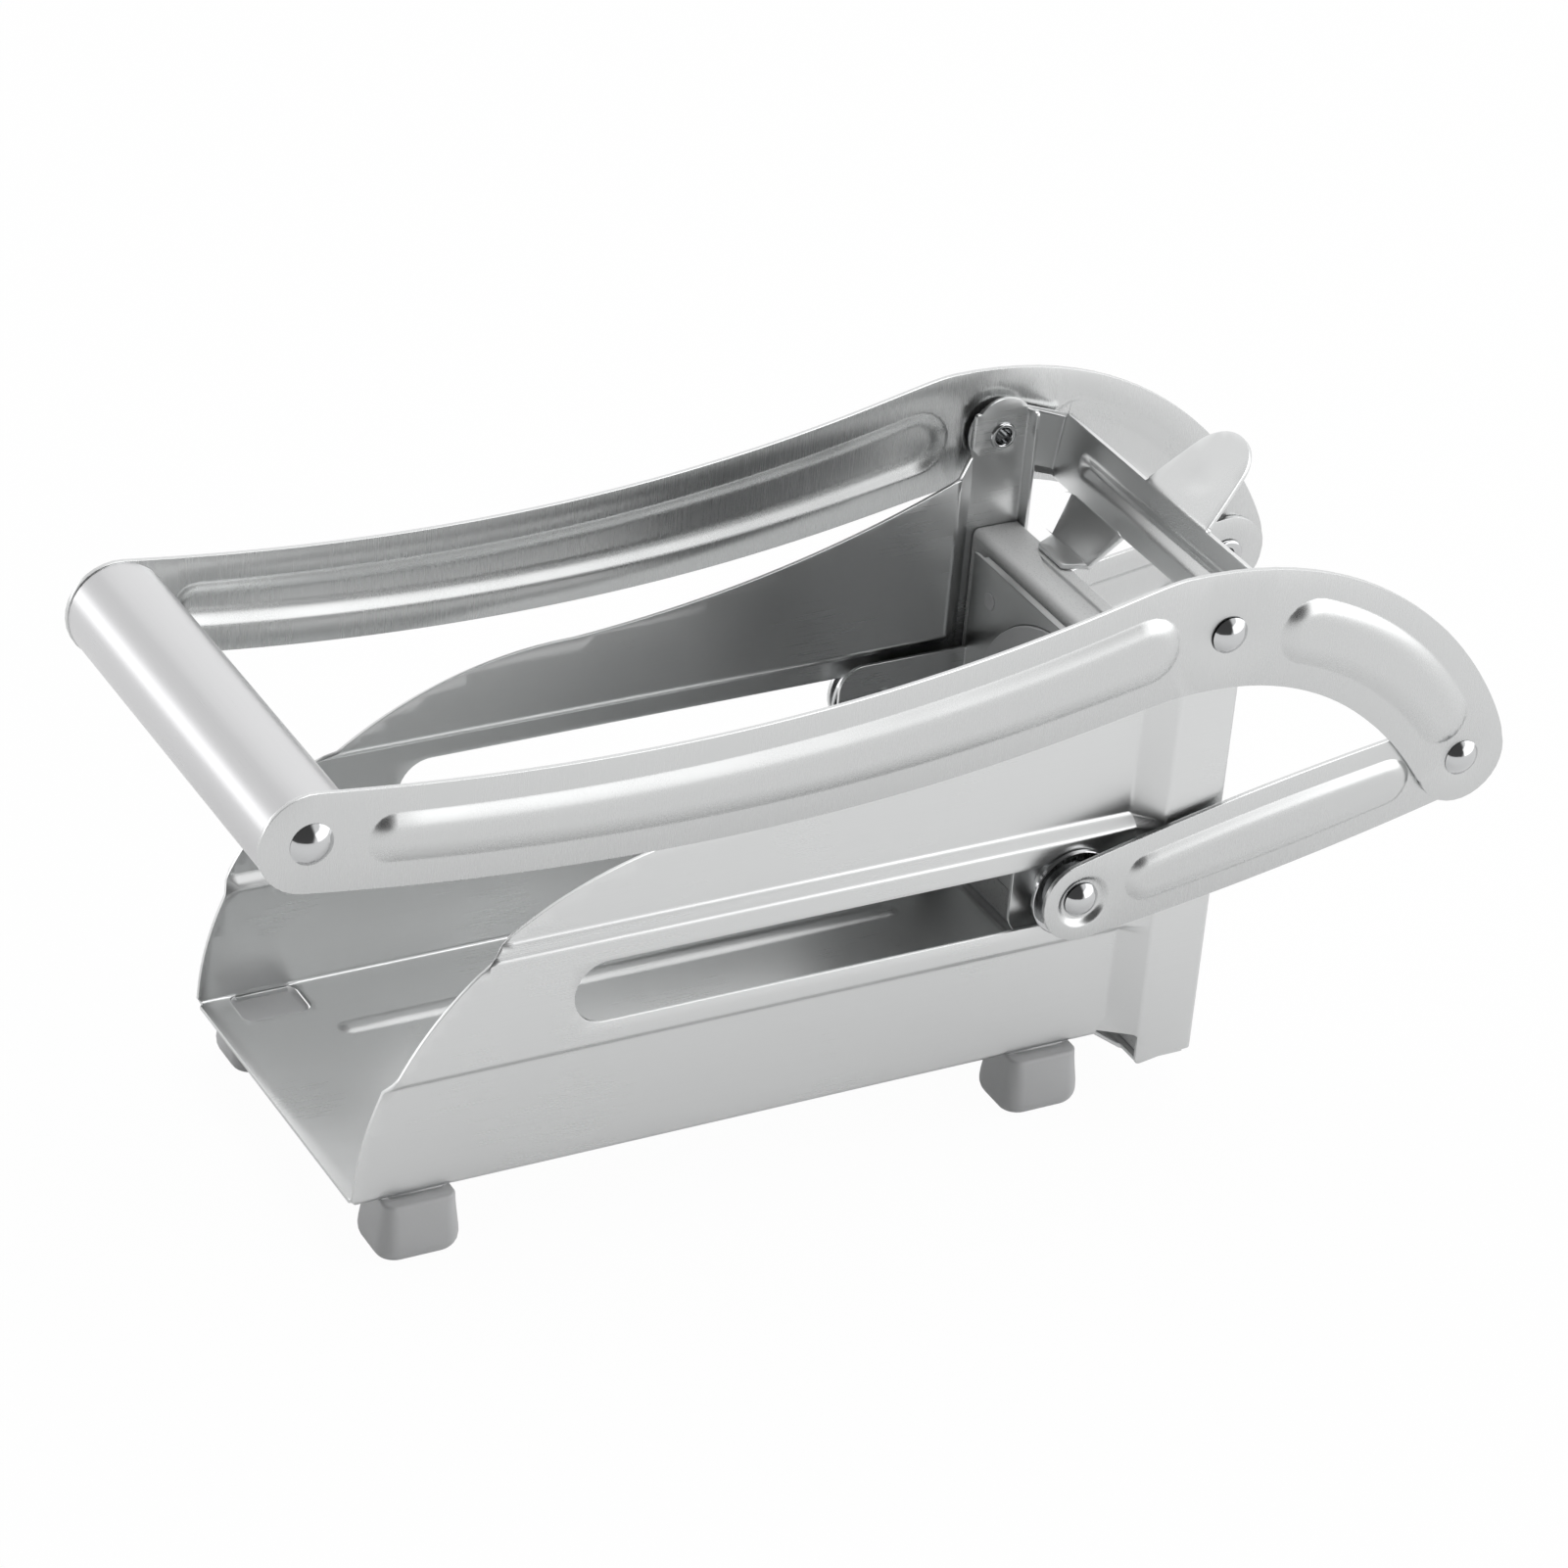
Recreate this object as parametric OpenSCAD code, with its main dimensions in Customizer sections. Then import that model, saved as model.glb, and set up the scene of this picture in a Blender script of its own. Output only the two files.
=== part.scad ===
// Hand-operated french fry cutter with a lever, two links, a sliding pusher and a blade cartridge.
// +X points from the handle to the blade end, +Z is up, and the object is symmetric about Y = 0.
// Each module draws in the pivot's own frame: X from the lever's pivot, Z from the tray's underside.

/* [Tray] */
// Length of the tray's side walls, from the front edge to the joggle
tray_len = 154; // [148:0.5:160]
// Length of the curved front of a wall
nose_len = 73.6; // [60:0.2:80]
// How far the walls' highest point lies below the lever's pivot
wall_drop = 5.4; // [4.6:0.1:8]
// How far the wall's top edge rises from its curved front to the blade end
wall_rise = 18.8; // [10:0.2:21]
// Thickness of the body's sheet
sheet_t = 0.8; // [0.6:0.1:1]
// How far the slotted band stands out of the wall
band_out = 2.3; // [1.5:0.1:2.6]
// Height of the sloped edges of the band
band_slope = 1.9; // [1:0.1:3]
// Flat of the band above and below the slot
band_margin = 4.4; // [3:0.1:6]
// Height of the slide slots
slot_h = 12.8; // [10:0.1:14]
// Distance from the middle of the tray to a floor rib
floor_rib_y = 17; // [12:0.5:22]
// Width of a floor rib
floor_rib_w = 4.4; // [3:0.1:6]
// Height of a floor rib
floor_rib_h = 0.7; // [0.4:0.1:1]

/* [Blade pocket] */
// How far the joggle sets the pocket's sides out from the tray's
joggle_out = 4.6; // [4:0.1:5]
// Length of the joggle between tray and pocket
joggle_len = 5; // [4:0.1:6]
// How far the pocket's flat sides reach ahead of the cartridge
pocket_ahead = 1.8; // [1:0.1:2.4]
// How far the pocket's floor lies below the tray's
pocket_drop = 5; // [4:0.1:6]
// How far the pocket reaches behind the lever's pivot
pocket_behind = 6.1; // [5.8:0.1:6.6]
// Width of the inward lips that hold the cartridge
lip_w = 3.6; // [3:0.1:4.4]
// Outer radius of the folds
fold_r = 1.4; // [1.2:0.1:2]
// Radius of the ear around the pivot
ear_r = 8; // [7.4:0.1:9]
// How far the ear's shoulders lie above the pivot
shoulder_h = 5.4; // [4.8:0.1:6.4]

/* [Feet] */
// Height of a foot
foot_h = 12; // [9:0.5:16]
// Length of a foot along the tray
foot_len = 16.2; // [15:0.1:20]
// Width of a foot across the tray
foot_w = 13.5; // [11:0.5:16]
// How far a foot stands out beyond the wall
foot_out = 3.5; // [2.6:0.1:3.8]
// Radius of a foot's upright edges
foot_r = 3.2; // [2:0.1:4]
// Distance from the tray's front edge to the middle of a front foot
front_foot_in = 12.6; // [10.5:0.1:16]
// Distance from the joggle to the middle of a rear foot
rear_foot_in = 13.4; // [12:0.1:24]
// Length of the tab that holds a foot
tab_len = 10.4; // [8:0.1:11.5]
// How far the notch in the floor reaches past the tab at each end
notch_over = 1.6; // [0.8:0.1:1.8]
// Depth of that tab
tab_h = 7; // [5:0.5:8]
// Width of the notch that the tab leaves in the floor
notch_w = 9.6; // [8:0.2:11]

/* [Lever] */
// How far the lever's pivot lies above the cartridge
pivot_over = 19.1; // [17.8:0.1:24]
// Distance from the pivot forward to the handle's axis
handle_reach = 179.8; // [175:0.2:190]
// How far the handle's axis lies below the pivot
handle_drop = 5.4; // [3:0.2:8]
// Distance from the pivot back to the rear rivet
crank_reach = 56.4; // [54:0.2:58]
// How far the rear rivet lies below the pivot
crank_drop = 37.2; // [36:0.2:39]
// Width of an arm at the handle
arm_handle_w = 19.3; // [17:0.1:21]
// Width of an arm half way to the pivot
arm_mid_w = 22.2; // [20:0.1:24]
// Width of an arm at the pivot
arm_pivot_w = 24.3; // [22:0.1:26]
// Width of an arm behind the pivot
arm_back_w = 22.1; // [20:0.1:24]
// Width of an arm at the rear rivet
arm_tail_w = 18.7; // [17:0.1:20]
// Thickness of an arm's sheet
arm_t = 1; // [0.8:0.1:1.4]
// Distance from an arm's edge to its raised ribs
rib_inset = 5; // [4:0.1:6]
// Height of the raised ribs
rib_h = 1; // [0.6:0.1:1.4]
// How far the lever opens, in degrees
lever_open = 90; // [80:1:90]

/* [Handle] */
// Outer diameter of the handle tube
tube_d = 18.8; // [16:0.1:19]
// Wall of the handle tube
tube_t = 0.9; // [0.6:0.1:1.5]
// Diameter of the rod through the tube
rod_d = 5; // [4:0.1:6]
// Diameter of the rod's domed heads
rod_head_d = 8; // [7.5:0.1:9]
// Height of the domed heads
head_h = 2; // [1.4:0.1:2.4]
// Length of a tube plug
plug_len = 8; // [5:0.5:12]

/* [Links] */
// Width of a link at the slide pin
link_pin_w = 16.4; // [14:0.1:18]
// Width of a link in the middle
link_mid_w = 19.2; // [17:0.1:20]
// Width of a link at the rear rivet
link_tail_w = 16.8; // [15:0.1:18]
// Thickness of a link
link_t = 1; // [0.8:0.1:1.4]
// Height of a link's raised rib
link_rib_h = 0.8; // [0.5:0.1:1]
// Radius of the dish around the slide pin
dish_r = 4.6; // [4.2:0.1:5.4]
// Depth of that dish
dish_depth = 0.7; // [0.5:0.1:0.9]

/* [Rivets] */
// Diameter of the rivets' shanks
shank_d = 4; // [3.4:0.1:4.4]
// Diameter of the rivets' domed heads
rivet_head_d = 7.2; // [6.4:0.1:8]
// Height of the domes
rivet_head_h = 1.8; // [1.2:0.1:2]
// Diameter of the bore in the hollow tails
tail_bore_d = 2.6; // [2:0.1:2.8]
// Diameter of the rolled tails
tail_d = 5.4; // [5:0.1:6.6]
// Thickness of the rolled tails
tail_t = 0.5; // [0.3:0.1:0.6]

/* [Slide] */
// Distance from the pivot forward to the slide pins
pin_reach = 23.8; // [22:0.2:26]
// Diameter of the slide pins' inner shanks
pin_d = 5; // [4:0.1:6]
// Diameter of the washers outside the slots
washer_d = 17.6; // [15:0.1:19]
// Thickness of those washers
washer_t = 1; // [0.8:0.1:1.2]
// Thickness of the pusher's steel
bracket_t = 0.8; // [0.6:0.1:1]
// Gap between the pusher's plate and the cartridge
plate_gap = 1.6; // [1.4:0.1:2]
// How far the pusher plate reaches above and below the window
plate_over = 0.8; // [0.4:0.1:1]
// Width of the lips at the plate's top and bottom
plate_lip = 0.9; // [0.5:0.1:1]
// Length of the pusher's forward flanges
flange_len = 27.4; // [22:0.2:32]
// Height of those flanges
flange_h = 20.6; // [18:0.2:24]
// Radius of the flanges' corners
flange_r = 5; // [3:0.5:8]
// Distance from the window's edge to the pusher head's round hub
hub_in = 1.2; // [1:0.1:4]
// How far the hub stands out of the steel plate
hub_out = 0.6; // [0.4:0.1:1.5]
// Diameter of the four stakes beside the hub
stake_d = 3.6; // [3:0.1:4.4]
// Distance from the window's side to the middle of a stake
stake_side = 3.4; // [2.8:0.1:4]
// Distance from the window's top and bottom to the middle of a stake
stake_level = 6.2; // [5.4:0.1:7]
// Thickness of the moulded base behind the steel plate
base_t = 2.8; // [2:0.1:3]

/* [Blades] */
// Number of chips across the cartridge and up it
grid_n = 6; // [4:1:8]
// Width and height of the cartridge's window
window_w = 60; // [56:0.5:64]
// Height of the window's lower edge above the tray's underside
window_low = 6.2; // [5.4:0.1:8]
// Width of the frame beside the window
side_rail = 9; // [8:0.1:11]
// Height of the frame above the window
top_rail = 2.9; // [2.6:0.1:5]
// Thickness of a blade
blade_t = 0.6; // [0.4:0.1:0.8]
// Depth of a blade
blade_deep = 7; // [5:0.5:7.5]
// Length of the sharpened edge
edge_len = 1.6; // [1:0.1:2.4]
// How far a blade's ends reach into the frame
blade_seat = 1.4; // [1:0.1:1.5]
// Length of the frame along the tray
frame_len = 9.7; // [9:0.1:9.8]
// Gap between a blade and a peg
peg_gap = 0.6; // [0.4:0.1:1]
// Depth of the thumb crescent
crescent_deep = 0.8; // [0.6:0.1:1.3]
// Width of the thumb crescent in its middle
crescent_w = 4; // [3:0.1:5]
// Length of the thumb crescent
crescent_len = 50; // [40:1:60]

/* [Clamp] */
// Distance from the pivot back to the cross bar
bar_reach = 14.6; // [13:0.1:16]
// Lean of the cross bar, in degrees
bar_lean = 8.5; // [5:0.5:12]
// Width of the cross bar
bar_w = 13.4; // [12:0.1:15]
// How far the bar's lower edge lies below the pivot
bar_drop = 9.3; // [8.8:0.1:10]
// Radius of the clamp's ends around the pivot
bail_r = 6.6; // [6:0.1:7]
// Thickness of the clamp's sheet
bail_t = 1; // [0.8:0.1:1.2]
// Width of the thumb tab at the cross bar
thumb_w = 21; // [18:0.2:24]
// Width of the thumb tab at its round tip
thumb_tip_w = 16.2; // [12:0.2:17.8]
// Length of the thumb tab
thumb_len = 17.2; // [14:0.2:18]
// Lean of the thumb tab from the cross bar, in degrees
thumb_lean = 38; // [25:1:42]
// Distance from the middle to a tongue
tongue_y = 23; // [20:0.5:24]
// Width of a tongue where it leaves the bar
tongue_w = 19; // [16:0.5:20]
// Width of a tongue at its tip
tongue_tip_w = 9; // [7:0.5:12]
// Distance from the pivot back to the tongues' folds
tongue_fold = 8; // [7.4:0.2:9]
// Length of the tongues' flat tips
tongue_flat = 5; // [3:0.2:6]

/* [Fits] */
// Radial clearance of a pin in its bore
pin_fit = 0.06; // [0.04:0.01:0.08]
// Gap between parts that slide past each other
run_gap = 0.3; // [0.25:0.01:0.35]
// Gap between flat faces that turn against each other
face_gap = 0.2; // [0.15:0.01:0.25]

/* [Hidden] */
$fn = 64;
right = -1;
left = 1;
steel = [0.78, 0.79, 0.8];
bright = [0.88, 0.88, 0.9];
plastic = [0.72, 0.73, 0.74];
blade_steel = [0.84, 0.85, 0.87];
// Overrun of every cut, and the short overlap that joins two shapes
cut = 2;
join = 0.2;

// The cartridge's window sets the heights and widths of what holds it
pin_h = window_low + window_w / 2;
frame_top = window_low + window_w + top_rail;
pivot_h = frame_top + pivot_over;
wall_top = pivot_h - wall_drop;
nose_h = wall_top - wall_rise;
pocket_w = window_w + 2 * (side_rail + face_gap + sheet_t);
tray_w = pocket_w - 2 * joggle_out;

// Where the axes lie, from the pivot
handle_at = [-handle_reach, -handle_drop];
crank_at = [crank_reach, -crank_drop];
pin_at = [-pin_reach, pin_h - pivot_h];
pivot_x = (handle_reach + arm_handle_w / 2 - crank_reach - arm_tail_w / 2) / 2;

// Planes across the object, from the middle outwards
tray_y = tray_w / 2;
inner_y = tray_y - sheet_t;
band_y = tray_y + band_out;
pocket_y = pocket_w / 2;
tail_y = pocket_y + run_gap;
link_y = tail_y + tail_t + face_gap;
arm_y = link_y + link_t + face_gap;
side_y = arm_y + arm_t;
bail_y = pocket_y + run_gap + bail_t;
washer_y = band_y + run_gap;
bush_y = link_y - dish_depth - run_gap;
flange_y = inner_y - run_gap - face_gap;

// Stations along the tray, from the pivot
pocket_end = pocket_behind;
frame_back = pocket_end - sheet_t - face_gap;
frame_front = frame_back - frame_len;
pocket_start = frame_front - pocket_ahead;
wall_end = pocket_start - joggle_len;
tray_front = wall_end - tray_len;
nose_end = tray_front + nose_len;
band_low = pin_h - slot_h / 2 - band_margin;
band_high = pin_h + slot_h / 2 + band_margin;

// The slide's stroke: where the pin stands when the lever has opened
link_len = norm(crank_at - pin_at);
crank_r = norm(crank_at);
crank_angle = atan2(crank_at[1], crank_at[0]) - lever_open;
crank_open = crank_r * [cos(crank_angle), sin(crank_angle)];
pin_open_x = crank_open[0] - sqrt(link_len ^ 2 - (crank_open[1] - pin_at[1]) ^ 2);
barrel_r = slot_h / 2 - run_gap;
slot_front = pin_open_x - face_gap;
slot_back = pin_at[0] + face_gap;

// Outlines: a sheet folded along a line of points, with rounded folds
function unit(v) = v / norm(v);
function left_of(v) = [-v[1], v[0]];
function way(p, i) = unit(p[min(i + 1, len(p) - 1)] - p[min(i, len(p) - 2)]);
function way_in(p, i) = unit(p[max(i, 1)] - p[max(i, 1) - 1]);
function mitre(p, i, t) =
    let (a = left_of(way_in(p, i)), b = left_of(way(p, i))) (a + b) * t / (1 + a * b);
function folded(p, t) =
    concat(p, [for (i = [len(p) - 1:-1:0]) p[i] + mitre(p, i, t)]);
function corner(p, i, r, steps) =
    let (a = way_in(p, i), b = way(p, i), cut_back = r * tan(acos(min(a * b, 1)) / 2))
    let (from = p[i] - a * cut_back, to = p[i] + b * cut_back)
    [for (k = [0:steps]) let (t = k / steps)
        (1 - t) ^ 2 * from + 2 * (1 - t) * t * p[i] + t ^ 2 * to];
function softened(p, r, steps = 4) =
    concat([p[0]], [for (i = [1:len(p) - 2]) each corner(p, i, r, steps)], [p[len(p) - 1]]);
function arc(c, r, from, to, steps = 12) =
    [for (k = [0:steps]) c + r * aim(from + (to - from) * k / steps)];
function aim(a) = [cos(a), sin(a)];
function mirrored(p) = [for (i = [len(p) - 1:-1:0]) [-p[i][0], p[i][1]]];

// A strip along a curve: its middle line, its half width, and the outline with round ends
function bezier(a, b, c, d, t) =
    (1 - t) ^ 3 * a + 3 * (1 - t) ^ 2 * t * b + 3 * (1 - t) * t ^ 2 * c + t ^ 3 * d;
function blend(w, t) = t < 0.5 ? w[0] + (w[1] - w[0]) * 2 * t : w[1] + (w[2] - w[1]) * (2 * t - 1);
function strip_side(line, half, side) =
    [for (i = [0:len(line) - 1]) line[i] + side * half[i] * unit(left_of(way_in(line, i) + way(line, i)))];
function strip(line, half) =
    let (last = len(line) - 1)
    let (start_a = atan2(way(line, 0)[1], way(line, 0)[0]))
    let (end_a = atan2(way_in(line, last)[1], way_in(line, last)[0]))
    let (upper = strip_side(line, half, 1), lower = strip_side(line, half, -1))
    concat(
        upper,
        arc(line[last], half[last], end_a + 90, end_a - 90),
        [for (i = [last - 1:-1:1]) lower[i]],
        arc(line[0], half[0], start_a - 90, start_a - 270)
    );

// The lever's middle line: a shallow curve from the handle, then the crook down to the rear rivet
crown_at = [-0.17 * crank_reach, 0.024 * crank_drop];
handle_slope = -7.9;
crown_slope = 3.4;
crank_slope = -72.8;
front_lead_share = 0.61;
crown_lead_share = 0.07;
crook_lead_share = 0.63;
crank_lead_share = 0.01;
front_run = norm(crown_at - handle_at);
crook_run = norm(crank_at - crown_at);
function front_line(t) = bezier(
    handle_at,
    handle_at + front_lead_share * front_run * aim(handle_slope),
    crown_at - crown_lead_share * front_run * aim(crown_slope),
    crown_at, t);
function crook_line(t) = bezier(
    crown_at,
    crown_at + crook_lead_share * crook_run * aim(crown_slope),
    crank_at - crank_lead_share * crook_run * aim(crank_slope),
    crank_at, t);
front_half = [arm_handle_w, arm_mid_w, arm_pivot_w] / 2;
crook_half = [arm_pivot_w, arm_back_w, arm_tail_w] / 2;
arm_steps = 24;
function shares(from, to, steps) = [for (k = [0:steps]) from + (to - from) * k / steps];
function arm_outline() =
    let (front = shares(0, 1, arm_steps), crook = [for (k = [1:arm_steps]) k / arm_steps])
    strip(
        concat([for (t = front) front_line(t)], [for (t = crook) crook_line(t)]),
        concat([for (t = front) blend(front_half, t)], [for (t = crook) blend(crook_half, t)])
    );
// The ribs run over these shares of the two curves
front_rib_share = [0.05, 0.86];
crook_rib_share = [0.22, 0.69];
function front_rib(inset) =
    let (run = shares(front_rib_share[0], front_rib_share[1], arm_steps))
    strip([for (t = run) front_line(t)], [for (t = run) blend(front_half, t) - inset]);
function crook_rib(inset) =
    let (run = shares(crook_rib_share[0], crook_rib_share[1], arm_steps))
    strip([for (t = run) crook_line(t)], [for (t = run) blend(crook_half, t) - inset]);

// Draws in the pivot's frame
module place() {
    translate([pivot_x, 0, foot_h]) children();
}

// Draws what its children draw for the left side, on the side that is asked for
module on_side(side) {
    place() mirror([0, side == left ? 0 : 1, 0]) children();
}

// An upright plate: an outline in X and Z, from y to y + t
module plate(y, t) {
    translate([0, y + t, 0]) rotate([90, 0, 0]) linear_extrude(t) children();
}

// A bar along X: an outline in Y and Z, from x to x + len
module bar(x, run) {
    translate([x, 0, 0]) rotate([90, 0, 90]) linear_extrude(run) children();
}

// A round bar or bore across the object, from y to y + len
module pin(at, y, run, r) {
    translate([at[0], y + run, at[1]]) rotate([90, 0, 0]) cylinder(h = run, r = r);
}

// A domed head on the outside of the face at y
module dome(at, y, r, h) {
    ball = (r ^ 2 + h ^ 2) / (2 * h);
    translate([at[0], y, at[1]]) rotate([-90, 0, 0]) intersection() {
        cylinder(h = h, r = r);
        translate([0, 0, h - ball]) sphere(ball);
    }
}

// A box from its low corner to its high corner
module box(low, high) {
    translate(low) cube(high - low);
}

pivot_at = [0, pivot_h];
slide_at = [pin_at[0], pin_h];
rear_at = [crank_at[0], pivot_h + crank_at[1]];
grip_at = [handle_at[0], pivot_h + handle_at[1]];
foot_x = [tray_front + front_foot_in, wall_end - rear_foot_in];
pitch = window_w / grid_n;

// The tray's section: one side from the floor up
function wall_line() = [
    [tray_y, 0],
    [tray_y, band_low - band_slope],
    [band_y, band_low],
    [band_y, band_high],
    [tray_y, band_high + band_slope],
    [tray_y, wall_top + cut]
];

// The wall's outline seen from the side: a curved front, then a top edge that rises to the pocket
nose_steps = 18;
rise_steps = 8;
rise_lead_share = 0.11;
rise_tail_share = 0.4;
function wall_outline() = let (run = wall_end - nose_end) concat(
    [[tray_front, -cut]],
    [for (k = [0:nose_steps]) let (a = 90 * k / nose_steps)
        [nose_end - nose_len * cos(a), nose_h * sin(a)]],
    [for (k = [1:rise_steps]) bezier(
        [nose_end, nose_h],
        [nose_end + run / 3, nose_h + wall_rise * rise_lead_share],
        [wall_end - run / 3, nose_h + wall_rise * rise_tail_share],
        [wall_end, wall_top], k / rise_steps)],
    [[wall_end, -cut]]
);

// The joggle, the pocket's side and its lip, seen from above
function pocket_line() = softened([
    [wall_end - fold_r, tray_y],
    [wall_end, tray_y],
    [pocket_start, pocket_y],
    [pocket_end, pocket_y],
    [pocket_end, pocket_y - lip_w]
], fold_r);

// The joggle, the pocket's side and the ear, seen from the side
ear_half = acos(min(shoulder_h / ear_r, 1));
ear_foot = wall_top + wall_rise * rise_lead_share;
function ear_outline() = concat(
    [[wall_end - fold_r, fold_r], [pocket_start, fold_r], [pocket_start, -pocket_drop]],
    [[pocket_end + cut, -pocket_drop], [pocket_end + cut, pivot_h + shoulder_h]],
    arc(pivot_at, ear_r, 90 - ear_half, 90 + ear_half),
    [[pocket_start, pivot_h + shoulder_h], [pocket_start, ear_foot], [wall_end, wall_top]],
    [[wall_end - fold_r, wall_top - fold_r / 2]]
);

module pocket_side() {
    intersection() {
        translate([0, 0, -pocket_drop]) linear_extrude(pivot_h + pocket_drop + ear_r)
            polygon(folded(pocket_line(), -sheet_t));
        plate(inner_y - cut, pocket_y - inner_y + 2 * cut) polygon(ear_outline());
    }
    // The band's end, where it runs into the joggle
    band_meet = wall_end + joggle_len * band_out / (pocket_y - tray_y);
    intersection() {
        linear_extrude(wall_top) polygon([
            [wall_end, tray_y - join],
            [wall_end, band_y],
            [band_meet + join, band_y]
        ]);
        bar(wall_end, joggle_len) polygon([
            [tray_y - join, band_low - band_slope],
            [tray_y, band_low - band_slope],
            [band_y, band_low],
            [band_y, band_high],
            [tray_y, band_high + band_slope],
            [tray_y - join, band_high + band_slope]
        ]);
    }
}

module floor_rib() {
    rib_front = foot_x[0] + tab_len;
    rib_back = foot_x[1] - foot_len / 4;
    half = floor_rib_w / 2;
    top_half = half - floor_rib_h;
    translate([0, floor_rib_y, 0]) bar(rib_front, rib_back - rib_front) polygon([
        [-half, sheet_t - join],
        [half, sheet_t - join],
        [half, sheet_t],
        [top_half, sheet_t + floor_rib_h],
        [-top_half, sheet_t + floor_rib_h],
        [-half, sheet_t]
    ]);
    for (x = [rib_front, rib_back]) {
        translate([x, floor_rib_y, sheet_t]) cylinder(h = floor_rib_h, r1 = half, r2 = top_half);
    }
}

module foot_notch(x) {
    half = tab_len / 2 + notch_over;
    box([x - half, inner_y - notch_w + fold_r, -cut], [x + half, inner_y, cut]);
    box([x - half + fold_r, inner_y - notch_w, -cut], [x + half - fold_r, inner_y, cut]);
    for (s = [-1, 1]) {
        translate([x + s * (half - fold_r), inner_y - notch_w + fold_r, -cut])
            cylinder(h = 2 * cut, r = fold_r);
    }
}

module slide_slot() {
    for (x = [slot_front, slot_back]) {
        pin([x, pin_h], inner_y, band_out + cut, slot_h / 2);
    }
    box([slot_front, inner_y, pin_h - slot_h / 2], [slot_back, band_y + cut, pin_h + slot_h / 2]);
}

// One folded sheet: tray, blade pocket, ears and foot tabs
module body_channel() {
    color(steel) place() difference() {
        union() {
            intersection() {
                bar(tray_front, tray_len)
                    polygon(folded(softened(concat(mirrored(wall_line()), wall_line()), fold_r), sheet_t));
                plate(-pocket_y, pocket_w) polygon(wall_outline());
            }
            plate(fold_r - tray_y, tray_w - 2 * fold_r) polygon(folded(softened([
                [wall_end - fold_r, 0],
                [wall_end, 0],
                [pocket_start, -pocket_drop],
                [pocket_end - fold_r, -pocket_drop]
            ], fold_r), sheet_t));
            plate(sheet_t - pocket_y, pocket_w - 2 * sheet_t) polygon(folded([
                [pocket_start, -pocket_drop],
                [pocket_end - sheet_t, -pocket_drop]
            ], sheet_t));
            plate(lip_w - pocket_y, pocket_w - 2 * lip_w) polygon(folded(softened([
                [pocket_start, -pocket_drop],
                [pocket_end, -pocket_drop],
                [pocket_end, lip_w - pocket_drop]
            ], fold_r), sheet_t));
            for (turn = [0, 1]) mirror([0, turn, 0]) {
                pocket_side();
                floor_rib();
            }
        }
        for (turn = [0, 1]) mirror([0, turn, 0]) {
            slide_slot();
            pin(pivot_at, inner_y, pocket_y, shank_d / 2);
            for (x = foot_x) foot_notch(x);
            box([tray_front - cut, inner_y - sheet_t, -cut], [tray_front + sheet_t, inner_y, cut]);
        }
    }
    color(steel) place() for (turn = [0, 1]) mirror([0, turn, 0]) {
        for (x = foot_x) box([x - tab_len / 2, inner_y, -tab_h], [x + tab_len / 2, tray_y, fold_r + join]);
    }
}

// A moulded foot: its three outlines, crossed, with a slit for the tab
foot_draft = 1.2;
module foot(x, side) {
    low_y = tray_y + foot_out - foot_w;
    high_y = tray_y + foot_out;
    half = foot_len / 2;
    color(plastic) on_side(side) difference() {
        intersection() {
            plate(low_y, foot_w) polygon(softened([
                [x, 0],
                [x - half + foot_draft, 0],
                [x - half, foot_draft * 2 - foot_h],
                [x - half, -foot_h],
                [x + half, -foot_h],
                [x + half, foot_draft * 2 - foot_h],
                [x + half - foot_draft, 0],
                [x, 0]
            ], foot_draft));
            bar(x - half, foot_len) polygon(softened([
                [low_y + foot_r, 0],
                [low_y + foot_draft, 0],
                [low_y, -foot_h],
                [high_y, -foot_h],
                [high_y - foot_draft, 0],
                [low_y + foot_r, 0]
            ], foot_draft));
            translate([x, low_y + foot_w / 2, -foot_h]) linear_extrude(foot_h) polygon(softened([
                [0, foot_w / 2],
                [-half, foot_w / 2],
                [-half, -foot_w / 2],
                [half, -foot_w / 2],
                [half, foot_w / 2],
                [0, foot_w / 2]
            ], foot_r));
        }
        box([x - tab_len / 2 - face_gap, inner_y - face_gap / 2, -tab_h - face_gap],
            [x + tab_len / 2 + face_gap, tray_y + face_gap / 2, cut]);
        box([x - tab_len / 2 - face_gap, tray_y, -sheet_t], [x + tab_len / 2 + face_gap, high_y + cut, cut]);
    }
}

module foot_front_right() {
    foot(foot_x[0], right);
}

module foot_front_left() {
    foot(foot_x[0], left);
}

module foot_rear_right() {
    foot(foot_x[1], right);
}

module foot_rear_left() {
    foot(foot_x[1], left);
}

// The lever's arms: flat strips with raised ribs, hollow from the inside
rib_slope = 1;
module rib_shape(y, t, inset) {
    plate(y, t) translate([0, pivot_h]) polygon(front_rib(inset));
    plate(y, t) translate([0, pivot_h]) polygon(crook_rib(inset));
}

module lever_arm(side) {
    color(steel) on_side(side) difference() {
        union() {
            plate(arm_y, arm_t) translate([0, pivot_h]) polygon(arm_outline());
            rib_shape(side_y - join, join + rib_h / 2, rib_inset);
            rib_shape(side_y - join, join + rib_h, rib_inset + rib_slope);
        }
        rib_shape(arm_y - cut, cut + arm_t - join, rib_inset + 2 * rib_slope);
        pin(pivot_at, arm_y - cut, arm_t + 2 * cut, shank_d / 2 + pin_fit);
        pin(rear_at, arm_y - cut, arm_t + 2 * cut, shank_d / 2);
        pin(grip_at, arm_y - cut, arm_t + 2 * cut, rod_d / 2);
    }
}

module lever_arm_right() {
    lever_arm(right);
}

module lever_arm_left() {
    lever_arm(left);
}

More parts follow.
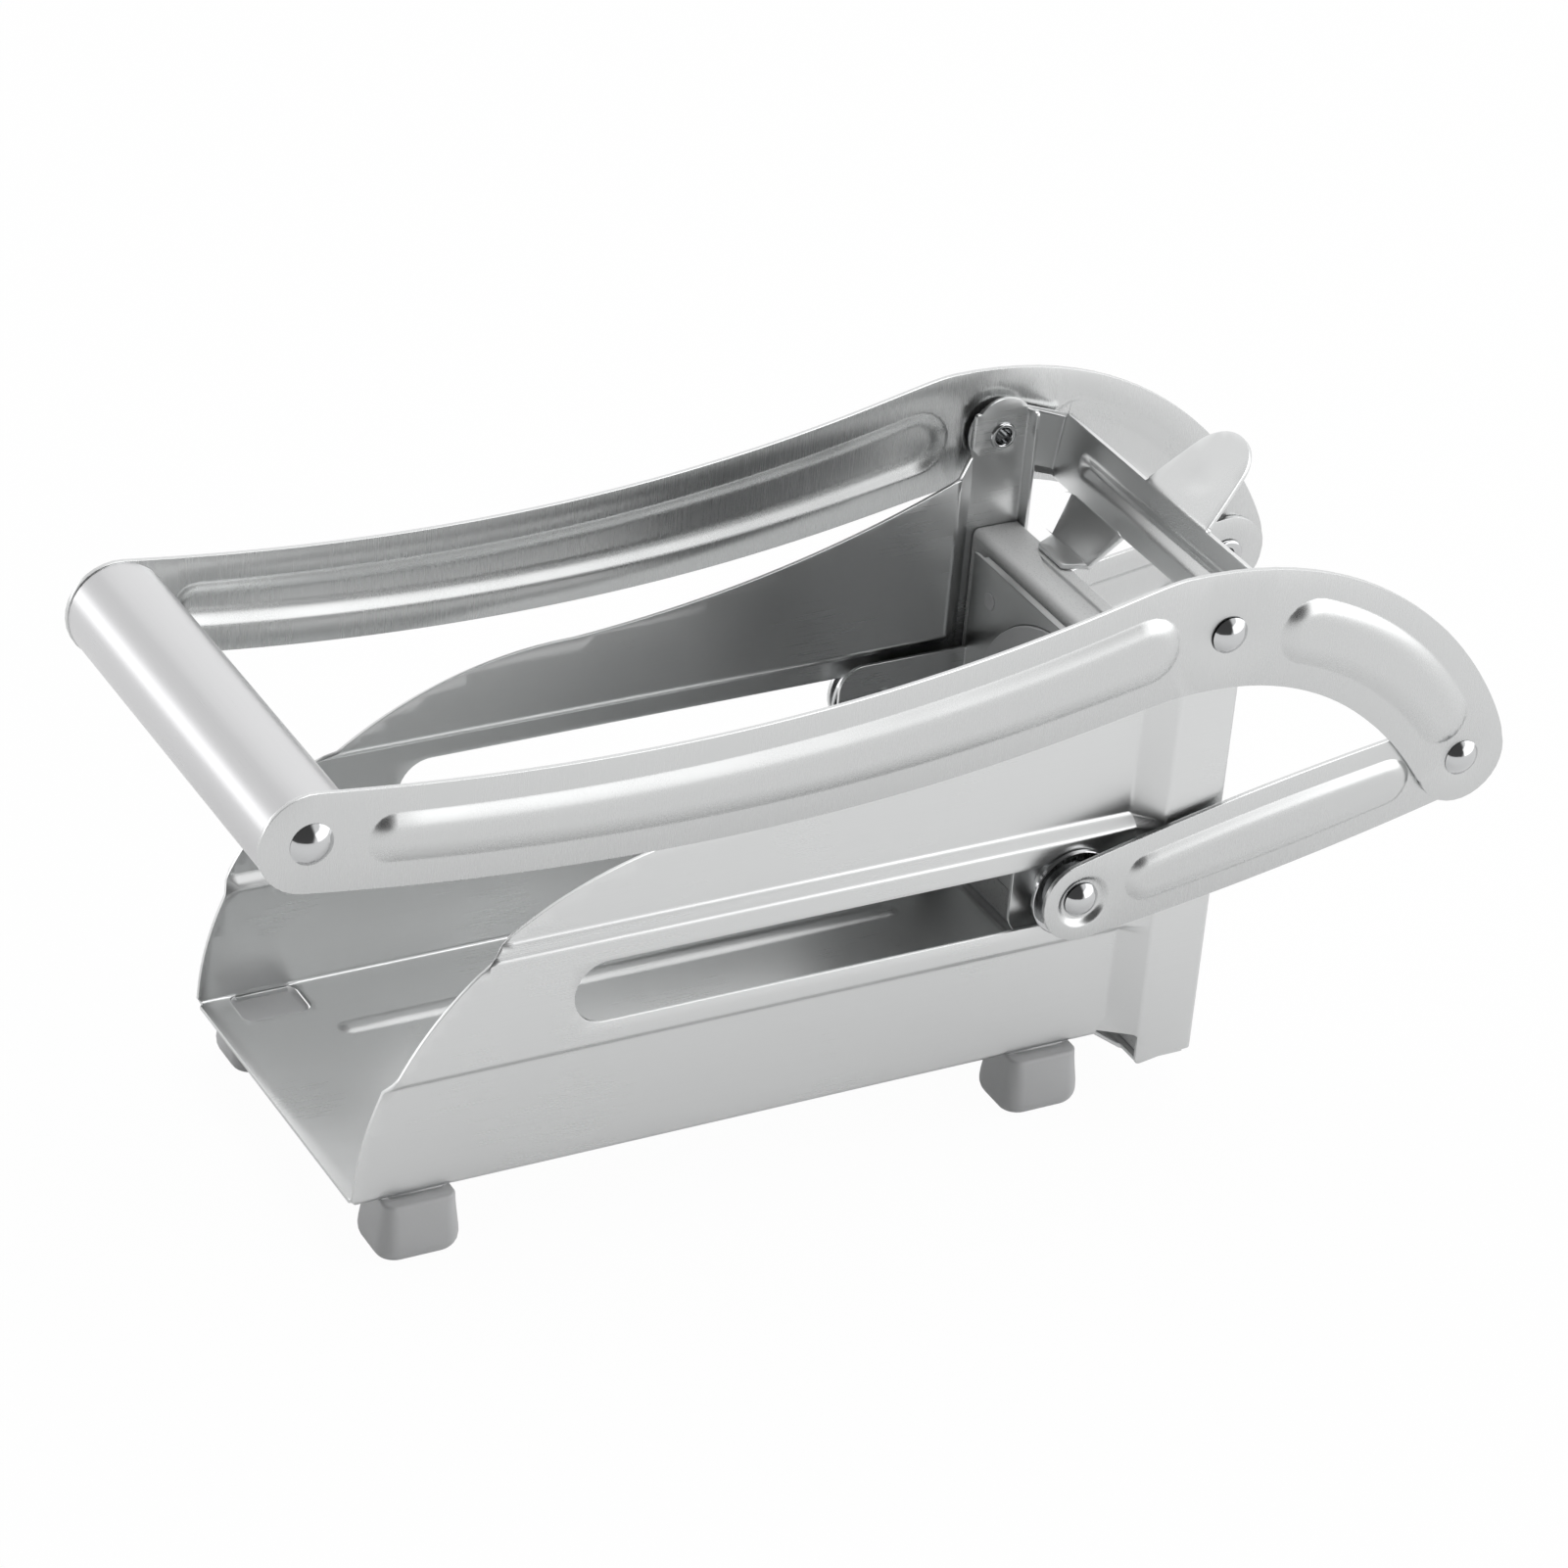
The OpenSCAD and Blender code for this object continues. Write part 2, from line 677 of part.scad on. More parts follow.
module handle_tube() {
    color(steel) place() difference() {
        pin(grip_at, -arm_y, 2 * arm_y, tube_d / 2);
        pin(grip_at, -arm_y - cut, 2 * arm_y + 2 * cut, tube_d / 2 - tube_t);
    }
}

module handle_rod() {
    color(bright) place() {
        pin(grip_at, -side_y, 2 * side_y, rod_d / 2);
        for (turn = [0, 1]) mirror([0, turn, 0]) dome(grip_at, side_y, rod_head_d / 2, head_h);
    }
}

module tube_plug(side) {
    color(plastic) on_side(side) difference() {
        pin(grip_at, arm_y - plug_len, plug_len, tube_d / 2 - tube_t);
        pin(grip_at, arm_y - plug_len - cut, plug_len + 2 * cut, rod_d / 2);
    }
}

module tube_plug_right() {
    tube_plug(right);
}

module tube_plug_left() {
    tube_plug(left);
}

// A rivet: shank, dome on the outside, rolled and hollow tail on the inside
module rivet(at, tail, head, r) {
    difference() {
        union() {
            pin(at, tail, head - tail, shank_d / 2);
            pin(at, tail, tail_t, tail_d / 2);
            dome(at, head, r, rivet_head_h);
        }
        pin(at, tail - cut, cut + (head - tail) / 2, tail_bore_d / 2);
    }
}

module pivot_rivet(side) {
    spacer_y = bail_y + face_gap;
    color(bright) on_side(side) {
        rivet(pivot_at, pocket_y - sheet_t - tail_t, side_y + face_gap, rivet_head_d / 2);
        difference() {
            pin(pivot_at, spacer_y, arm_y - face_gap - spacer_y, tail_d / 2 + join);
            pin(pivot_at, spacer_y - cut, arm_y, shank_d / 4);
        }
    }
}

module pivot_rivet_right() {
    pivot_rivet(right);
}

module pivot_rivet_left() {
    pivot_rivet(left);
}

module rear_rivet(side) {
    color(bright) on_side(side) rivet(rear_at, tail_y, side_y, rivet_head_d / 2);
}

module rear_rivet_right() {
    rear_rivet(right);
}

module rear_rivet_left() {
    rear_rivet(left);
}

// A link: a flat strip with one raised rib, which ends before the arm, and a dish around the slide pin
link_rib_half = link_mid_w / 4;
link_rib_share = [0.17, 1 - (arm_tail_w / 2 + link_rib_half + 2 * rib_slope) / link_len];
link_steps = 12;
link_half = [link_pin_w, link_mid_w, link_tail_w] / 2;
function link_outline() = let (run = shares(0, 1, link_steps)) strip(
    [for (t = run) slide_at + t * (rear_at - slide_at)],
    [for (t = run) blend(link_half, t)]
);
function link_rib(inset) = strip(
    [for (t = link_rib_share) slide_at + t * (rear_at - slide_at)],
    [for (t = link_rib_share) link_rib_half - inset]
);

module link(side) {
    color(steel) on_side(side) difference() {
        union() {
            plate(link_y, link_t) polygon(link_outline());
            plate(link_y + link_t - join, join + link_rib_h / 2) polygon(link_rib(0));
            plate(link_y + link_t - join, join + link_rib_h) polygon(link_rib(rib_slope / 2));
            pin(slide_at, link_y - dish_depth, link_t, dish_r + dish_depth);
        }
        plate(link_y - cut, cut + link_rib_h - join) polygon(link_rib(3 * rib_slope / 2));
        pin(slide_at, link_y + link_t - dish_depth, cut, dish_r);
        pin(slide_at, link_y - cut, link_t + 2 * cut, shank_d / 2);
        pin(rear_at, link_y - cut, link_t + 2 * cut, shank_d / 2 + pin_fit);
    }
}

module link_right() {
    link(right);
}

module link_left() {
    link(left);
}

module front_rivet(side) {
    floor_y = link_y + link_t - dish_depth;
    color(bright) on_side(side) {
        pin(slide_at, link_y - dish_depth, link_t, shank_d / 2);
        dome(slide_at, floor_y, dish_r * rivet_head_d / (2 * dish_r + 2 * rib_slope), rivet_head_h);
    }
}

module front_rivet_right() {
    front_rivet(right);
}

module front_rivet_left() {
    front_rivet(left);
}

// The steel pusher: a plate with two forward flanges, narrow lips and a round opening
plate_x = frame_front - plate_gap - bracket_t;
plate_half = window_w / 2 + plate_over;
hub_r = window_w / 2 - hub_in;
stake_y = window_w / 2 - stake_side;
stake_z = window_w / 2 - stake_level;
flange_front = plate_x - flange_len;
base_x = plate_x + bracket_t;
module pusher_bracket() {
    low = pin_h - plate_half;
    high = pin_h + plate_half;
    color(steel) place() difference() {
        union() {
            intersection() {
                translate([0, 0, low]) linear_extrude(high - low) polygon(folded(softened([
                    [flange_front, -flange_y],
                    [base_x, -flange_y],
                    [base_x, flange_y],
                    [flange_front, flange_y]
                ], fold_r), bracket_t));
                plate(-flange_y, 2 * flange_y) polygon(concat(
                    [[plate_x, low], [base_x, low], [base_x, high], [plate_x, high]],
                    [[plate_x, pin_h + flange_h / 2]],
                    arc([flange_front + flange_r, pin_h + flange_h / 2 - flange_r], flange_r, 90, 180),
                    arc([flange_front + flange_r, pin_h - flange_h / 2 + flange_r], flange_r, 180, 270),
                    [[plate_x, pin_h - flange_h / 2]]
                ));
            }
            for (z = [low, high - bracket_t]) {
                box([base_x - join, 2 * fold_r - flange_y, z],
                    [base_x + plate_lip, flange_y - 2 * fold_r, z + bracket_t]);
            }
        }
        translate([plate_x - cut, 0, pin_h]) rotate([0, 90, 0])
            cylinder(h = bracket_t + 2 * cut, r = hub_r + face_gap);
        for (s = [-1, 1]) {
            for (u = [-1, 1]) {
                translate([plate_x - cut, s * stake_y, pin_h + u * stake_z]) rotate([0, 90, 0])
                    cylinder(h = bracket_t + 2 * cut, r = stake_d / 2);
            }
            pin(slide_at, s * flange_y - cut, 2 * cut, pin_d / 2);
        }
    }
}

// The moulded pusher: hub and stakes in front, a base, and pegs that reach between the blades
blade_back = frame_back - sheet_t;
blade_front = blade_back - blade_deep;
peg_w = pitch - blade_t - 2 * peg_gap;
module pusher_head() {
    base_half = window_w / 2 - peg_gap - face_gap;
    color(plastic) place() {
        translate([plate_x - hub_out, 0, pin_h]) rotate([0, 90, 0])
            cylinder(h = hub_out + bracket_t + base_t / 2, r = hub_r);
        for (s = [-1, 1]) {
            for (u = [-1, 1]) {
                translate([plate_x - hub_out / 2, s * stake_y, pin_h + u * stake_z]) rotate([0, 90, 0])
                    cylinder(h = hub_out / 2 + bracket_t + base_t / 2, r = stake_d / 2);
            }
        }
        box([base_x, -base_half, pin_h - base_half], [base_x + base_t, base_half, pin_h + base_half]);
        for (i = [1:grid_n]) {
            for (k = [1:grid_n]) {
                y = (i - (grid_n + 1) / 2) * pitch;
                z = (k - (grid_n + 1) / 2) * pitch + pin_h;
                box([base_x + base_t - join, y - peg_w / 2, z - peg_w / 2],
                    [blade_back - blade_t, y + peg_w / 2, z + peg_w / 2]);
            }
        }
    }
}

// A shouldered slide pin: a hollow tail inside the flange, a barrel in the slot, an outer shoulder
module slide_bush(side) {
    inside = flange_y - bracket_t;
    color(bright) on_side(side) difference() {
        union() {
            pin(slide_at, inside - washer_t, washer_t, dish_r - join);
            pin(slide_at, inside, bush_y - inside, pin_d / 2);
            pin(slide_at, flange_y, washer_y - flange_y, barrel_r);
            pin(slide_at, washer_y + washer_t, bush_y - washer_y - washer_t, dish_r);
        }
        pin(slide_at, inside - cut, cut + pin_d / 2, shank_d / 2);
    }
}

module slide_bush_right() {
    slide_bush(right);
}

module slide_bush_left() {
    slide_bush(left);
}

module slide_washer(side) {
    color(bright) on_side(side) difference() {
        pin(slide_at, washer_y, washer_t, washer_d / 2);
        pin(slide_at, washer_y - cut, washer_t + 2 * cut, pin_d / 2);
    }
}

module slide_washer_right() {
    slide_washer(right);
}

module slide_washer_left() {
    slide_washer(left);
}

// A blade, drawn across Y, its edge forward, with the half laps that its neighbours sit in
blade_half = window_w / 2 + blade_seat;
module blade_shape(from) {
    difference() {
        translate([0, 0, -blade_half]) linear_extrude(2 * blade_half) polygon([
            [blade_front, 0],
            [blade_front + edge_len, blade_t / 2],
            [blade_back, blade_t / 2],
            [blade_back, -blade_t / 2],
            [blade_front + edge_len, -blade_t / 2]
        ]);
        for (i = [1:grid_n - 1]) {
            translate([from, -blade_t, (i - grid_n / 2) * pitch - blade_t / 2])
                cube([blade_deep / 2, 2 * blade_t, blade_t]);
        }
    }
}

module blade_upright(i) {
    color(blade_steel) place() translate([0, (i - grid_n / 2) * pitch, pin_h])
        blade_shape(blade_back - blade_deep / 2);
}

module blade_level(i) {
    color(blade_steel) place() translate([0, 0, pin_h + (i - grid_n / 2) * pitch]) rotate([90, 0, 0])
        blade_shape(blade_front);
}

module blade_upright_1() {
    blade_upright(1);
}

module blade_upright_2() {
    blade_upright(2);
}

module blade_upright_3() {
    blade_upright(3);
}

module blade_upright_4() {
    blade_upright(4);
}

module blade_upright_5() {
    blade_upright(5);
}

module blade_level_1() {
    blade_level(1);
}

module blade_level_2() {
    blade_level(2);
}

module blade_level_3() {
    blade_level(3);
}

module blade_level_4() {
    blade_level(4);
}

module blade_level_5() {
    blade_level(5);
}

// The cartridge: a moulded frame with seats for the blades' ends and a crescent for the thumb
module blade_frame() {
    half = pocket_y - sheet_t - face_gap;
    low = sheet_t - pocket_drop;
    window = window_w / 2;
    crescent_r = (crescent_len ^ 2 / 4 + crescent_w ^ 2) / (2 * crescent_w);
    crescent_back = (frame_front + frame_back + crescent_w) / 2;
    color(plastic) place() difference() {
        plate(-half, 2 * half) polygon(concat(
            [[frame_back, low], [frame_back, frame_top]],
            arc([frame_front + fold_r, frame_top - fold_r], fold_r, 90, 180),
            [[frame_front, low]]
        ));
        box([frame_front - cut, -window, pin_h - window], [frame_back + cut, window, pin_h + window]);
        for (i = [1:grid_n - 1]) {
            at = (i - grid_n / 2) * pitch;
            box([blade_front, at - blade_t / 2, pin_h - blade_half],
                [blade_back, at + blade_t / 2, pin_h + blade_half]);
            box([blade_front, -blade_half, pin_h + at - blade_t / 2],
                [blade_back, blade_half, pin_h + at + blade_t / 2]);
        }
        intersection() {
            translate([crescent_back - crescent_w + crescent_r, 0, frame_top - crescent_deep])
                cylinder(h = crescent_deep + cut, r = crescent_r, $fn = 180);
            box([frame_front, -half, frame_top - crescent_deep], [crescent_back, half, frame_top + cut]);
        }
    }
}

// The clamp: a folded bail around the ears, leaning back, with a thumb tab and two tongues
bar_back = bar_reach + bail_t / 2;
bar_high = bar_w - bar_drop;
bead_w = 4;
bead_h = 0.9;
bead_r = (bead_w ^ 2 / 4 + bead_h ^ 2) / (2 * bead_h);
bead_z = (bar_high - bar_drop) / 2;
function leaned(p) = [
    p[0] * cos(bar_lean) + p[1] * sin(bar_lean),
    pivot_h - p[0] * sin(bar_lean) + p[1] * cos(bar_lean)
];

module bail_u() {
    intersection() {
        translate([0, 0, -bar_drop]) linear_extrude(bar_w + bail_r) polygon(folded(softened([
            [-bail_r - cut, -bail_y],
            [bar_back, -bail_y],
            [bar_back, bail_y],
            [-bail_r - cut, bail_y]
        ], fold_r), bail_t));
        union() {
            plate(-bail_y, 2 * bail_y) polygon([
                [0, bail_r - join],
                [0, join - bail_r],
                [bar_back, -bar_drop],
                [bar_back, bar_high]
            ]);
            pin([0, 0], -bail_y, 2 * bail_y, bail_r);
        }
    }
}

tip_steps = 20;
module thumb_tab() {
    t = bail_t - join;
    tip_r = thumb_tip_w / 2;
    taper = atan((thumb_w - thumb_tip_w) / 2 / (thumb_len - tip_r));
    dish_w = thumb_w * 2 / 5;
    dish_at = thumb_len / 3;
    root = [bar_back - join / 2, bar_high];
    along = [sin(thumb_lean), cos(thumb_lean)];
    tip_from = bar_high + (thumb_len - tip_r) * cos(thumb_lean);
    difference() {
        union() {
            intersection() {
                plate(-thumb_w, 2 * thumb_w) polygon(folded(softened([
                    root - [0, 2 * bail_t],
                    root,
                    root + thumb_len * along
                ], fold_r), t));
                bar(0, 2 * bar_reach) polygon(concat(
                    [[-thumb_w / 2, 0], [thumb_w / 2, 0], [thumb_w / 2, bar_high]],
                    [for (a = shares(taper, 180 - taper, tip_steps))
                        [tip_r * cos(a), tip_from + tip_r * sin(a) * cos(thumb_lean)]],
                    [[-thumb_w / 2, bar_high]]
                ));
            }
            translate([root[0], 0, root[1]]) rotate([0, thumb_lean, 0])
                translate([-join, 0, dish_at]) rotate([0, 90, 0])
                    cylinder(h = join + bail_t / 2, r1 = dish_w / 2, r2 = dish_w / 4);
        }
        translate([root[0], 0, root[1]]) rotate([0, thumb_lean, 0])
            translate([-t - join, 0, dish_at]) rotate([0, 90, 0])
                cylinder(h = join + bail_t / 2, r1 = dish_w / 2, r2 = dish_w / 4);
    }
}

module tongue() {
    tip = tongue_fold - tongue_flat;
    low = frame_top + run_gap;
    root = leaned([bar_back - join / 2, -bar_drop]);
    intersection() {
        plate(tongue_y - tongue_w, 2 * tongue_w) polygon(folded(softened([
            leaned([bar_back - join / 2, 2 * bail_t - bar_drop]),
            root,
            [tongue_fold, low],
            [tip, low]
        ], fold_r), join - bail_t));
        translate([0, tongue_y, low]) linear_extrude(pivot_h - low) polygon(softened([
            [root[0] + cut, -tongue_w / 2],
            [root[0] - bail_t, -tongue_w / 2],
            [tongue_fold, -(tongue_w + tongue_tip_w) / 4],
            [tip, -tongue_tip_w / 2],
            [tip, tongue_tip_w / 2],
            [tongue_fold, (tongue_w + tongue_tip_w) / 4],
            [root[0] - bail_t, tongue_w / 2],
            [root[0] + cut, tongue_w / 2]
        ], fold_r));
    }
}

module clamp_bail() {
    bead_len = 2 * (tongue_y + tongue_w / 2);
    color(steel) place() {
        translate([0, 0, pivot_h]) rotate([0, bar_lean, 0]) {
            difference() {
                union() {
                    bail_u();
                    intersection() {
                        pin([bar_back + bead_h - bead_r, bead_z], -bead_len / 2, bead_len, bead_r);
                        box([bar_back - join, -bead_len, -bar_drop], [bar_back + cut, bead_len, bar_high]);
                    }
                }
                intersection() {
                    pin([bar_back + bead_h - bead_r - bail_t, bead_z], -bead_len / 2 + bail_t,
                        bead_len - 2 * bail_t, bead_r);
                    box([bar_back - bail_t - join, -bead_len, -bar_drop],
                        [bar_back + cut, bead_len, bar_high]);
                }
                pin([0, 0], -bail_y - cut, 2 * bail_y + 2 * cut, shank_d / 2 + pin_fit);
            }
            thumb_tab();
        }
        for (turn = [0, 1]) mirror([0, turn, 0]) tongue();
    }
}

body_channel();
foot_front_right();
foot_front_left();
foot_rear_right();
foot_rear_left();
pivot_rivet_right();
pivot_rivet_left();
blade_frame();
blade_upright_1();
blade_upright_2();
blade_upright_3();
blade_upright_4();
blade_upright_5();
blade_level_1();
blade_level_2();
blade_level_3();
blade_level_4();
blade_level_5();
lever_arm_right();
lever_arm_left();
handle_tube();
handle_rod();
tube_plug_right();
tube_plug_left();
rear_rivet_right();
rear_rivet_left();
link_right();
link_left();
front_rivet_right();
front_rivet_left();
pusher_bracket();
pusher_head();
slide_bush_right();
slide_bush_left();
slide_washer_right();
slide_washer_left();
clamp_bail();
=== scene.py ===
# %% [markdown]
# # A lever french fry cutter
# The real cutter is folded from stainless sheet: a tray with slotted walls, a blade cartridge in a
# pocket at the back, and a lever whose two links drag a pegged pusher up to the blades. The packed
# model holds every piece at its true size and place. This lesson dresses that model, so nothing is
# measured twice and each new piece is drawn in the millimetres of the maker's drawing.

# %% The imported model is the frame
import math

import bmesh
import bpy
import numpy as np
from mathutils import Matrix, Vector
from mathutils.geometry import delaunay_2d_cdt


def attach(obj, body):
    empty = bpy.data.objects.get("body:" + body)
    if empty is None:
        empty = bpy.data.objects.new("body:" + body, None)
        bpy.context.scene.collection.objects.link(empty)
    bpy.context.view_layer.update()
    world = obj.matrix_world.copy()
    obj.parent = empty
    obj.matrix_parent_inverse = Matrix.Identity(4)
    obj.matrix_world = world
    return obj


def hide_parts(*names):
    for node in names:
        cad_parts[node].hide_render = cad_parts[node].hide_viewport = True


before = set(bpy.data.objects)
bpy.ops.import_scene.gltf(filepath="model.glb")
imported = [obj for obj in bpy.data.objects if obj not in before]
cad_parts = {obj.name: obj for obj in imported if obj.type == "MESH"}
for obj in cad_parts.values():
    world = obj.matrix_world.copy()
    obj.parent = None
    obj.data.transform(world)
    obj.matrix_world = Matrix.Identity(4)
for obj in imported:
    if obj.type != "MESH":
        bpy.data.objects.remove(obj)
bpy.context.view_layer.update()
scene = bpy.context.scene

# %% [markdown]
# ## The camera
# The picture was taken with a long lens from the handle's end, above the cutter's right side, so
# the tray's edges stay almost parallel. The camera's place and turn were fitted to the rivets and
# edges in the photograph. It is turned by hand from its azimuth, elevation and roll, because aiming
# at a target gives no roll.

# %% The camera
PIXELS, FOCAL_PIXELS, SENSOR_MM = 1601, 5787.6, 36
AZIMUTH, ELEVATION, ROLL = (math.radians(a) for a in (-30.493, 30.462, 5.121))
CAMERA_AT = (-0.459735, -0.776168, 0.588046)
back = Vector((math.sin(AZIMUTH) * math.cos(ELEVATION), -math.cos(AZIMUTH) * math.cos(ELEVATION),
               math.sin(ELEVATION)))
level_right = Vector((0, 0, 1)).cross(back).normalized()
level_up = back.cross(level_right)
right = level_right * math.cos(ROLL) + level_up * math.sin(ROLL)
up = level_up * math.cos(ROLL) - level_right * math.sin(ROLL)
camera_data = bpy.data.cameras.new("camera")
camera_data.sensor_width = SENSOR_MM
camera_data.lens = SENSOR_MM * FOCAL_PIXELS / PIXELS
camera = bpy.data.objects.new("camera", camera_data)
camera.matrix_world = Matrix((right, up, back)).transposed().to_4x4()
camera.location = CAMERA_AT
scene.collection.objects.link(camera)
scene.camera = camera
print("lens", round(camera_data.lens, 2), "mm")

# %% [markdown]
# ## Colours and nodes
# A material is a small network of nodes. One function turns the hex colours of paint charts into
# the linear numbers that the renderer mixes, and one adds a node with its settings and links, so a
# material below reads as a list of what its surface is made of.

# %% Helpers for materials
MM = 0.001
PER_MM = 1 / MM


def linear(hex_colour):
    """An sRGB colour such as #C8C8C4 as the linear colour that Blender's sockets take."""
    channels = [int(hex_colour[i:i + 2], 16) / 255 for i in (1, 3, 5)]
    return (*(c / 12.92 if c <= 0.04045 else ((c + 0.055) / 1.055) ** 2.4 for c in channels), 1)


def add(tree, kind, settings=(), **inputs):
    """Adds a node. Settings are its properties; inputs are numbers, colours or other outputs.
    An input goes by its name, with _ for a space, or by _ and its number."""
    node = tree.nodes.new(kind)
    for name, value in dict(settings).items():
        setattr(node, name, value)
    for name, value in inputs.items():
        key = int(name[1:]) if name[0] == "_" else name.replace("_", " ")
        if isinstance(value, bpy.types.NodeSocket):
            tree.links.new(value, node.inputs[key])
        else:
            node.inputs[key].default_value = value
    return node


def blank(name):
    """A new material with an empty tree and its output node."""
    material = bpy.data.materials.new(name)
    material.use_nodes = True
    material.node_tree.nodes.clear()
    return material, material.node_tree, material.node_tree.nodes.new("ShaderNodeOutputMaterial")


print("the mid grey #808080 is", round(linear("#808080")[0], 3), "in linear light")

# %% [markdown]
# ## Brushed stainless sheet
# The tray, arms, links and clamp are rolled 18/0 stainless with a fine satin brush. What gives it
# away is long streaks that scatter light more across them than along. An anisotropic shader could
# do that, but it needs tangents that a glTF loses. Streaks of noise, stretched forty to over a
# hundred times along the brushed direction and worked into roughness and a very low bump, give the
# same eye and survive. A broad soft noise adds the handling haze that keeps a large flat from
# looking like plastic. Real brush lines are finer, but finer ones would not show in the render.

# %% Brushed steel
HAZE_MM, ROUGH_SWING = 22, 0.02


def brushed_steel(name, colours, rough, along, streak_mm=0.22, run_mm=24, bump=0.004, haze=0.04):
    """A satin metal with streaks along one axis, and a broad haze over them."""
    material, tree, out = blank(name)
    place = add(tree, "ShaderNodeTexCoord").outputs["Object"]
    stretch = [PER_MM / (run_mm if axis == along else streak_mm) for axis in "xyz"]
    lay = add(tree, "ShaderNodeMapping", Vector=place, Scale=stretch).outputs["Vector"]
    streaks = add(tree, "ShaderNodeTexNoise", Vector=lay, Scale=1.0, Detail=4.0, Roughness=0.6)
    cloud = add(tree, "ShaderNodeTexNoise", Vector=place, Scale=PER_MM / HAZE_MM, Detail=2.0)
    shade = add(tree, "ShaderNodeMapRange", Value=streaks.outputs["Fac"], From_Min=0.3,
                From_Max=0.7, To_Min=rough - ROUGH_SWING, To_Max=rough + ROUGH_SWING)
    handled = add(tree, "ShaderNodeMapRange", Value=cloud.outputs["Fac"],
                  From_Min=0.35, From_Max=0.65, To_Min=-haze / 2, To_Max=haze / 2)
    total = add(tree, "ShaderNodeMath", {"operation": "ADD"},
                _0=shade.outputs["Result"], _1=handled.outputs["Result"])
    # A Mix node's two colours are its inputs 6 and 7
    tint = add(tree, "ShaderNodeMix", {"data_type": "RGBA"}, Factor=streaks.outputs["Fac"],
               _6=linear(colours[0]), _7=linear(colours[1]))
    relief = add(tree, "ShaderNodeBump", Height=streaks.outputs["Fac"], Strength=bump,
                 Distance=0.2 * MM)
    shader = add(tree, "ShaderNodeBsdfPrincipled", Metallic=1.0, Base_Color=tint.outputs[2],
                 Roughness=total.outputs["Value"], Normal=relief.outputs["Normal"])
    tree.links.new(shader.outputs["BSDF"], out.inputs["Surface"])
    print(name, "streaks", streak_mm, "mm wide and about", run_mm, "mm long")
    return material


sheet_steel = brushed_steel("rolled_stainless_sheet", ("#D9DADA", "#DDDEDE"), 0.30, "x")
arm_steel = brushed_steel("brushed_stainless_strip", ("#CDCECE", "#D2D3D3"), 0.27, "z",
                          0.14, 10, 0.0025, 0.03)
tube_steel = brushed_steel("brushed_stainless_tube", ("#C8C8C9", "#CECECF"), 0.3, "y", 0.14, 18)
blade_steel = brushed_steel("ground_blade_strip", ("#CBCCCD", "#D4D5D6"), 0.24, "y", 0.15, 6)

# %% [markdown]
# ## Polished rivet steel
# Rivet heads are cold headed and tumbled, so they are nearly mirrors with a trace of orange peel. A
# low roughness with shallow noise, about half a millimetre across, breaks the reflection up.

# %% Polished steel
PEEL_MM, PEEL_ROUGH = 0.5, 0.1
rivet_steel, tree, out = blank("tumbled_rivet_steel")
place = add(tree, "ShaderNodeTexCoord").outputs["Object"]
peel = add(tree, "ShaderNodeTexNoise", Vector=place, Scale=PER_MM / PEEL_MM, Detail=3.0)
wear = add(tree, "ShaderNodeMapRange", Value=peel.outputs["Fac"],
           To_Min=PEEL_ROUGH * 0.7, To_Max=PEEL_ROUGH * 1.5)
relief = add(tree, "ShaderNodeBump", Height=peel.outputs["Fac"], Strength=0.03, Distance=0.1 * MM)
shader = add(tree, "ShaderNodeBsdfPrincipled", Metallic=1.0, Base_Color=linear("#C9CACB"),
             Roughness=wear.outputs["Result"], Normal=relief.outputs["Normal"])
tree.links.new(shader.outputs["BSDF"], out.inputs["Surface"])
print(rivet_steel.name, "orange peel", PEEL_MM, "mm across")

# %% [markdown]
# ## Moulded grey plastic
# Feet, cartridge and pusher head are injection moulded ABS with a lightly sparked tool finish: a
# satin skin with grain of about a third of a millimetre. ABS has an IOR near 1.54. The colour
# hardly varies, so the grain goes to the bump and the roughness, and the colour only drifts a
# little in broad patches.

# %% Moulded ABS
GRAIN_MM, PATCH_MM, ABS_IOR = 0.35, 9, 1.54


def moulded_abs(name, colours, rough):
    """A satin moulded plastic with a fine grain."""
    material, tree, out = blank(name)
    place = add(tree, "ShaderNodeTexCoord").outputs["Object"]
    grain = add(tree, "ShaderNodeTexNoise", Vector=place, Scale=PER_MM / GRAIN_MM, Detail=2.0)
    flow = add(tree, "ShaderNodeTexNoise", Vector=place, Scale=PER_MM / PATCH_MM, Detail=2.0)
    tint = add(tree, "ShaderNodeMix", {"data_type": "RGBA"}, Factor=flow.outputs["Fac"],
               _6=linear(colours[0]), _7=linear(colours[1]))
    satin = add(tree, "ShaderNodeMapRange", Value=grain.outputs["Fac"],
                To_Min=rough - 0.06, To_Max=rough + 0.08)
    relief = add(tree, "ShaderNodeBump", Height=grain.outputs["Fac"], Strength=0.08,
                 Distance=0.1 * MM)
    shader = add(tree, "ShaderNodeBsdfPrincipled", Base_Color=tint.outputs[2], IOR=ABS_IOR,
                 Roughness=satin.outputs["Result"], Normal=relief.outputs["Normal"])
    tree.links.new(shader.outputs["BSDF"], out.inputs["Surface"])
    print(name, "grain", GRAIN_MM, "mm")
    return material


grey_abs = moulded_abs("moulded_grey_abs", ("#BFC0C1", "#C6C7C8"), 0.34)
pale_abs = moulded_abs("moulded_pale_grey_abs", ("#D3D4D4", "#D9DADA"), 0.28)
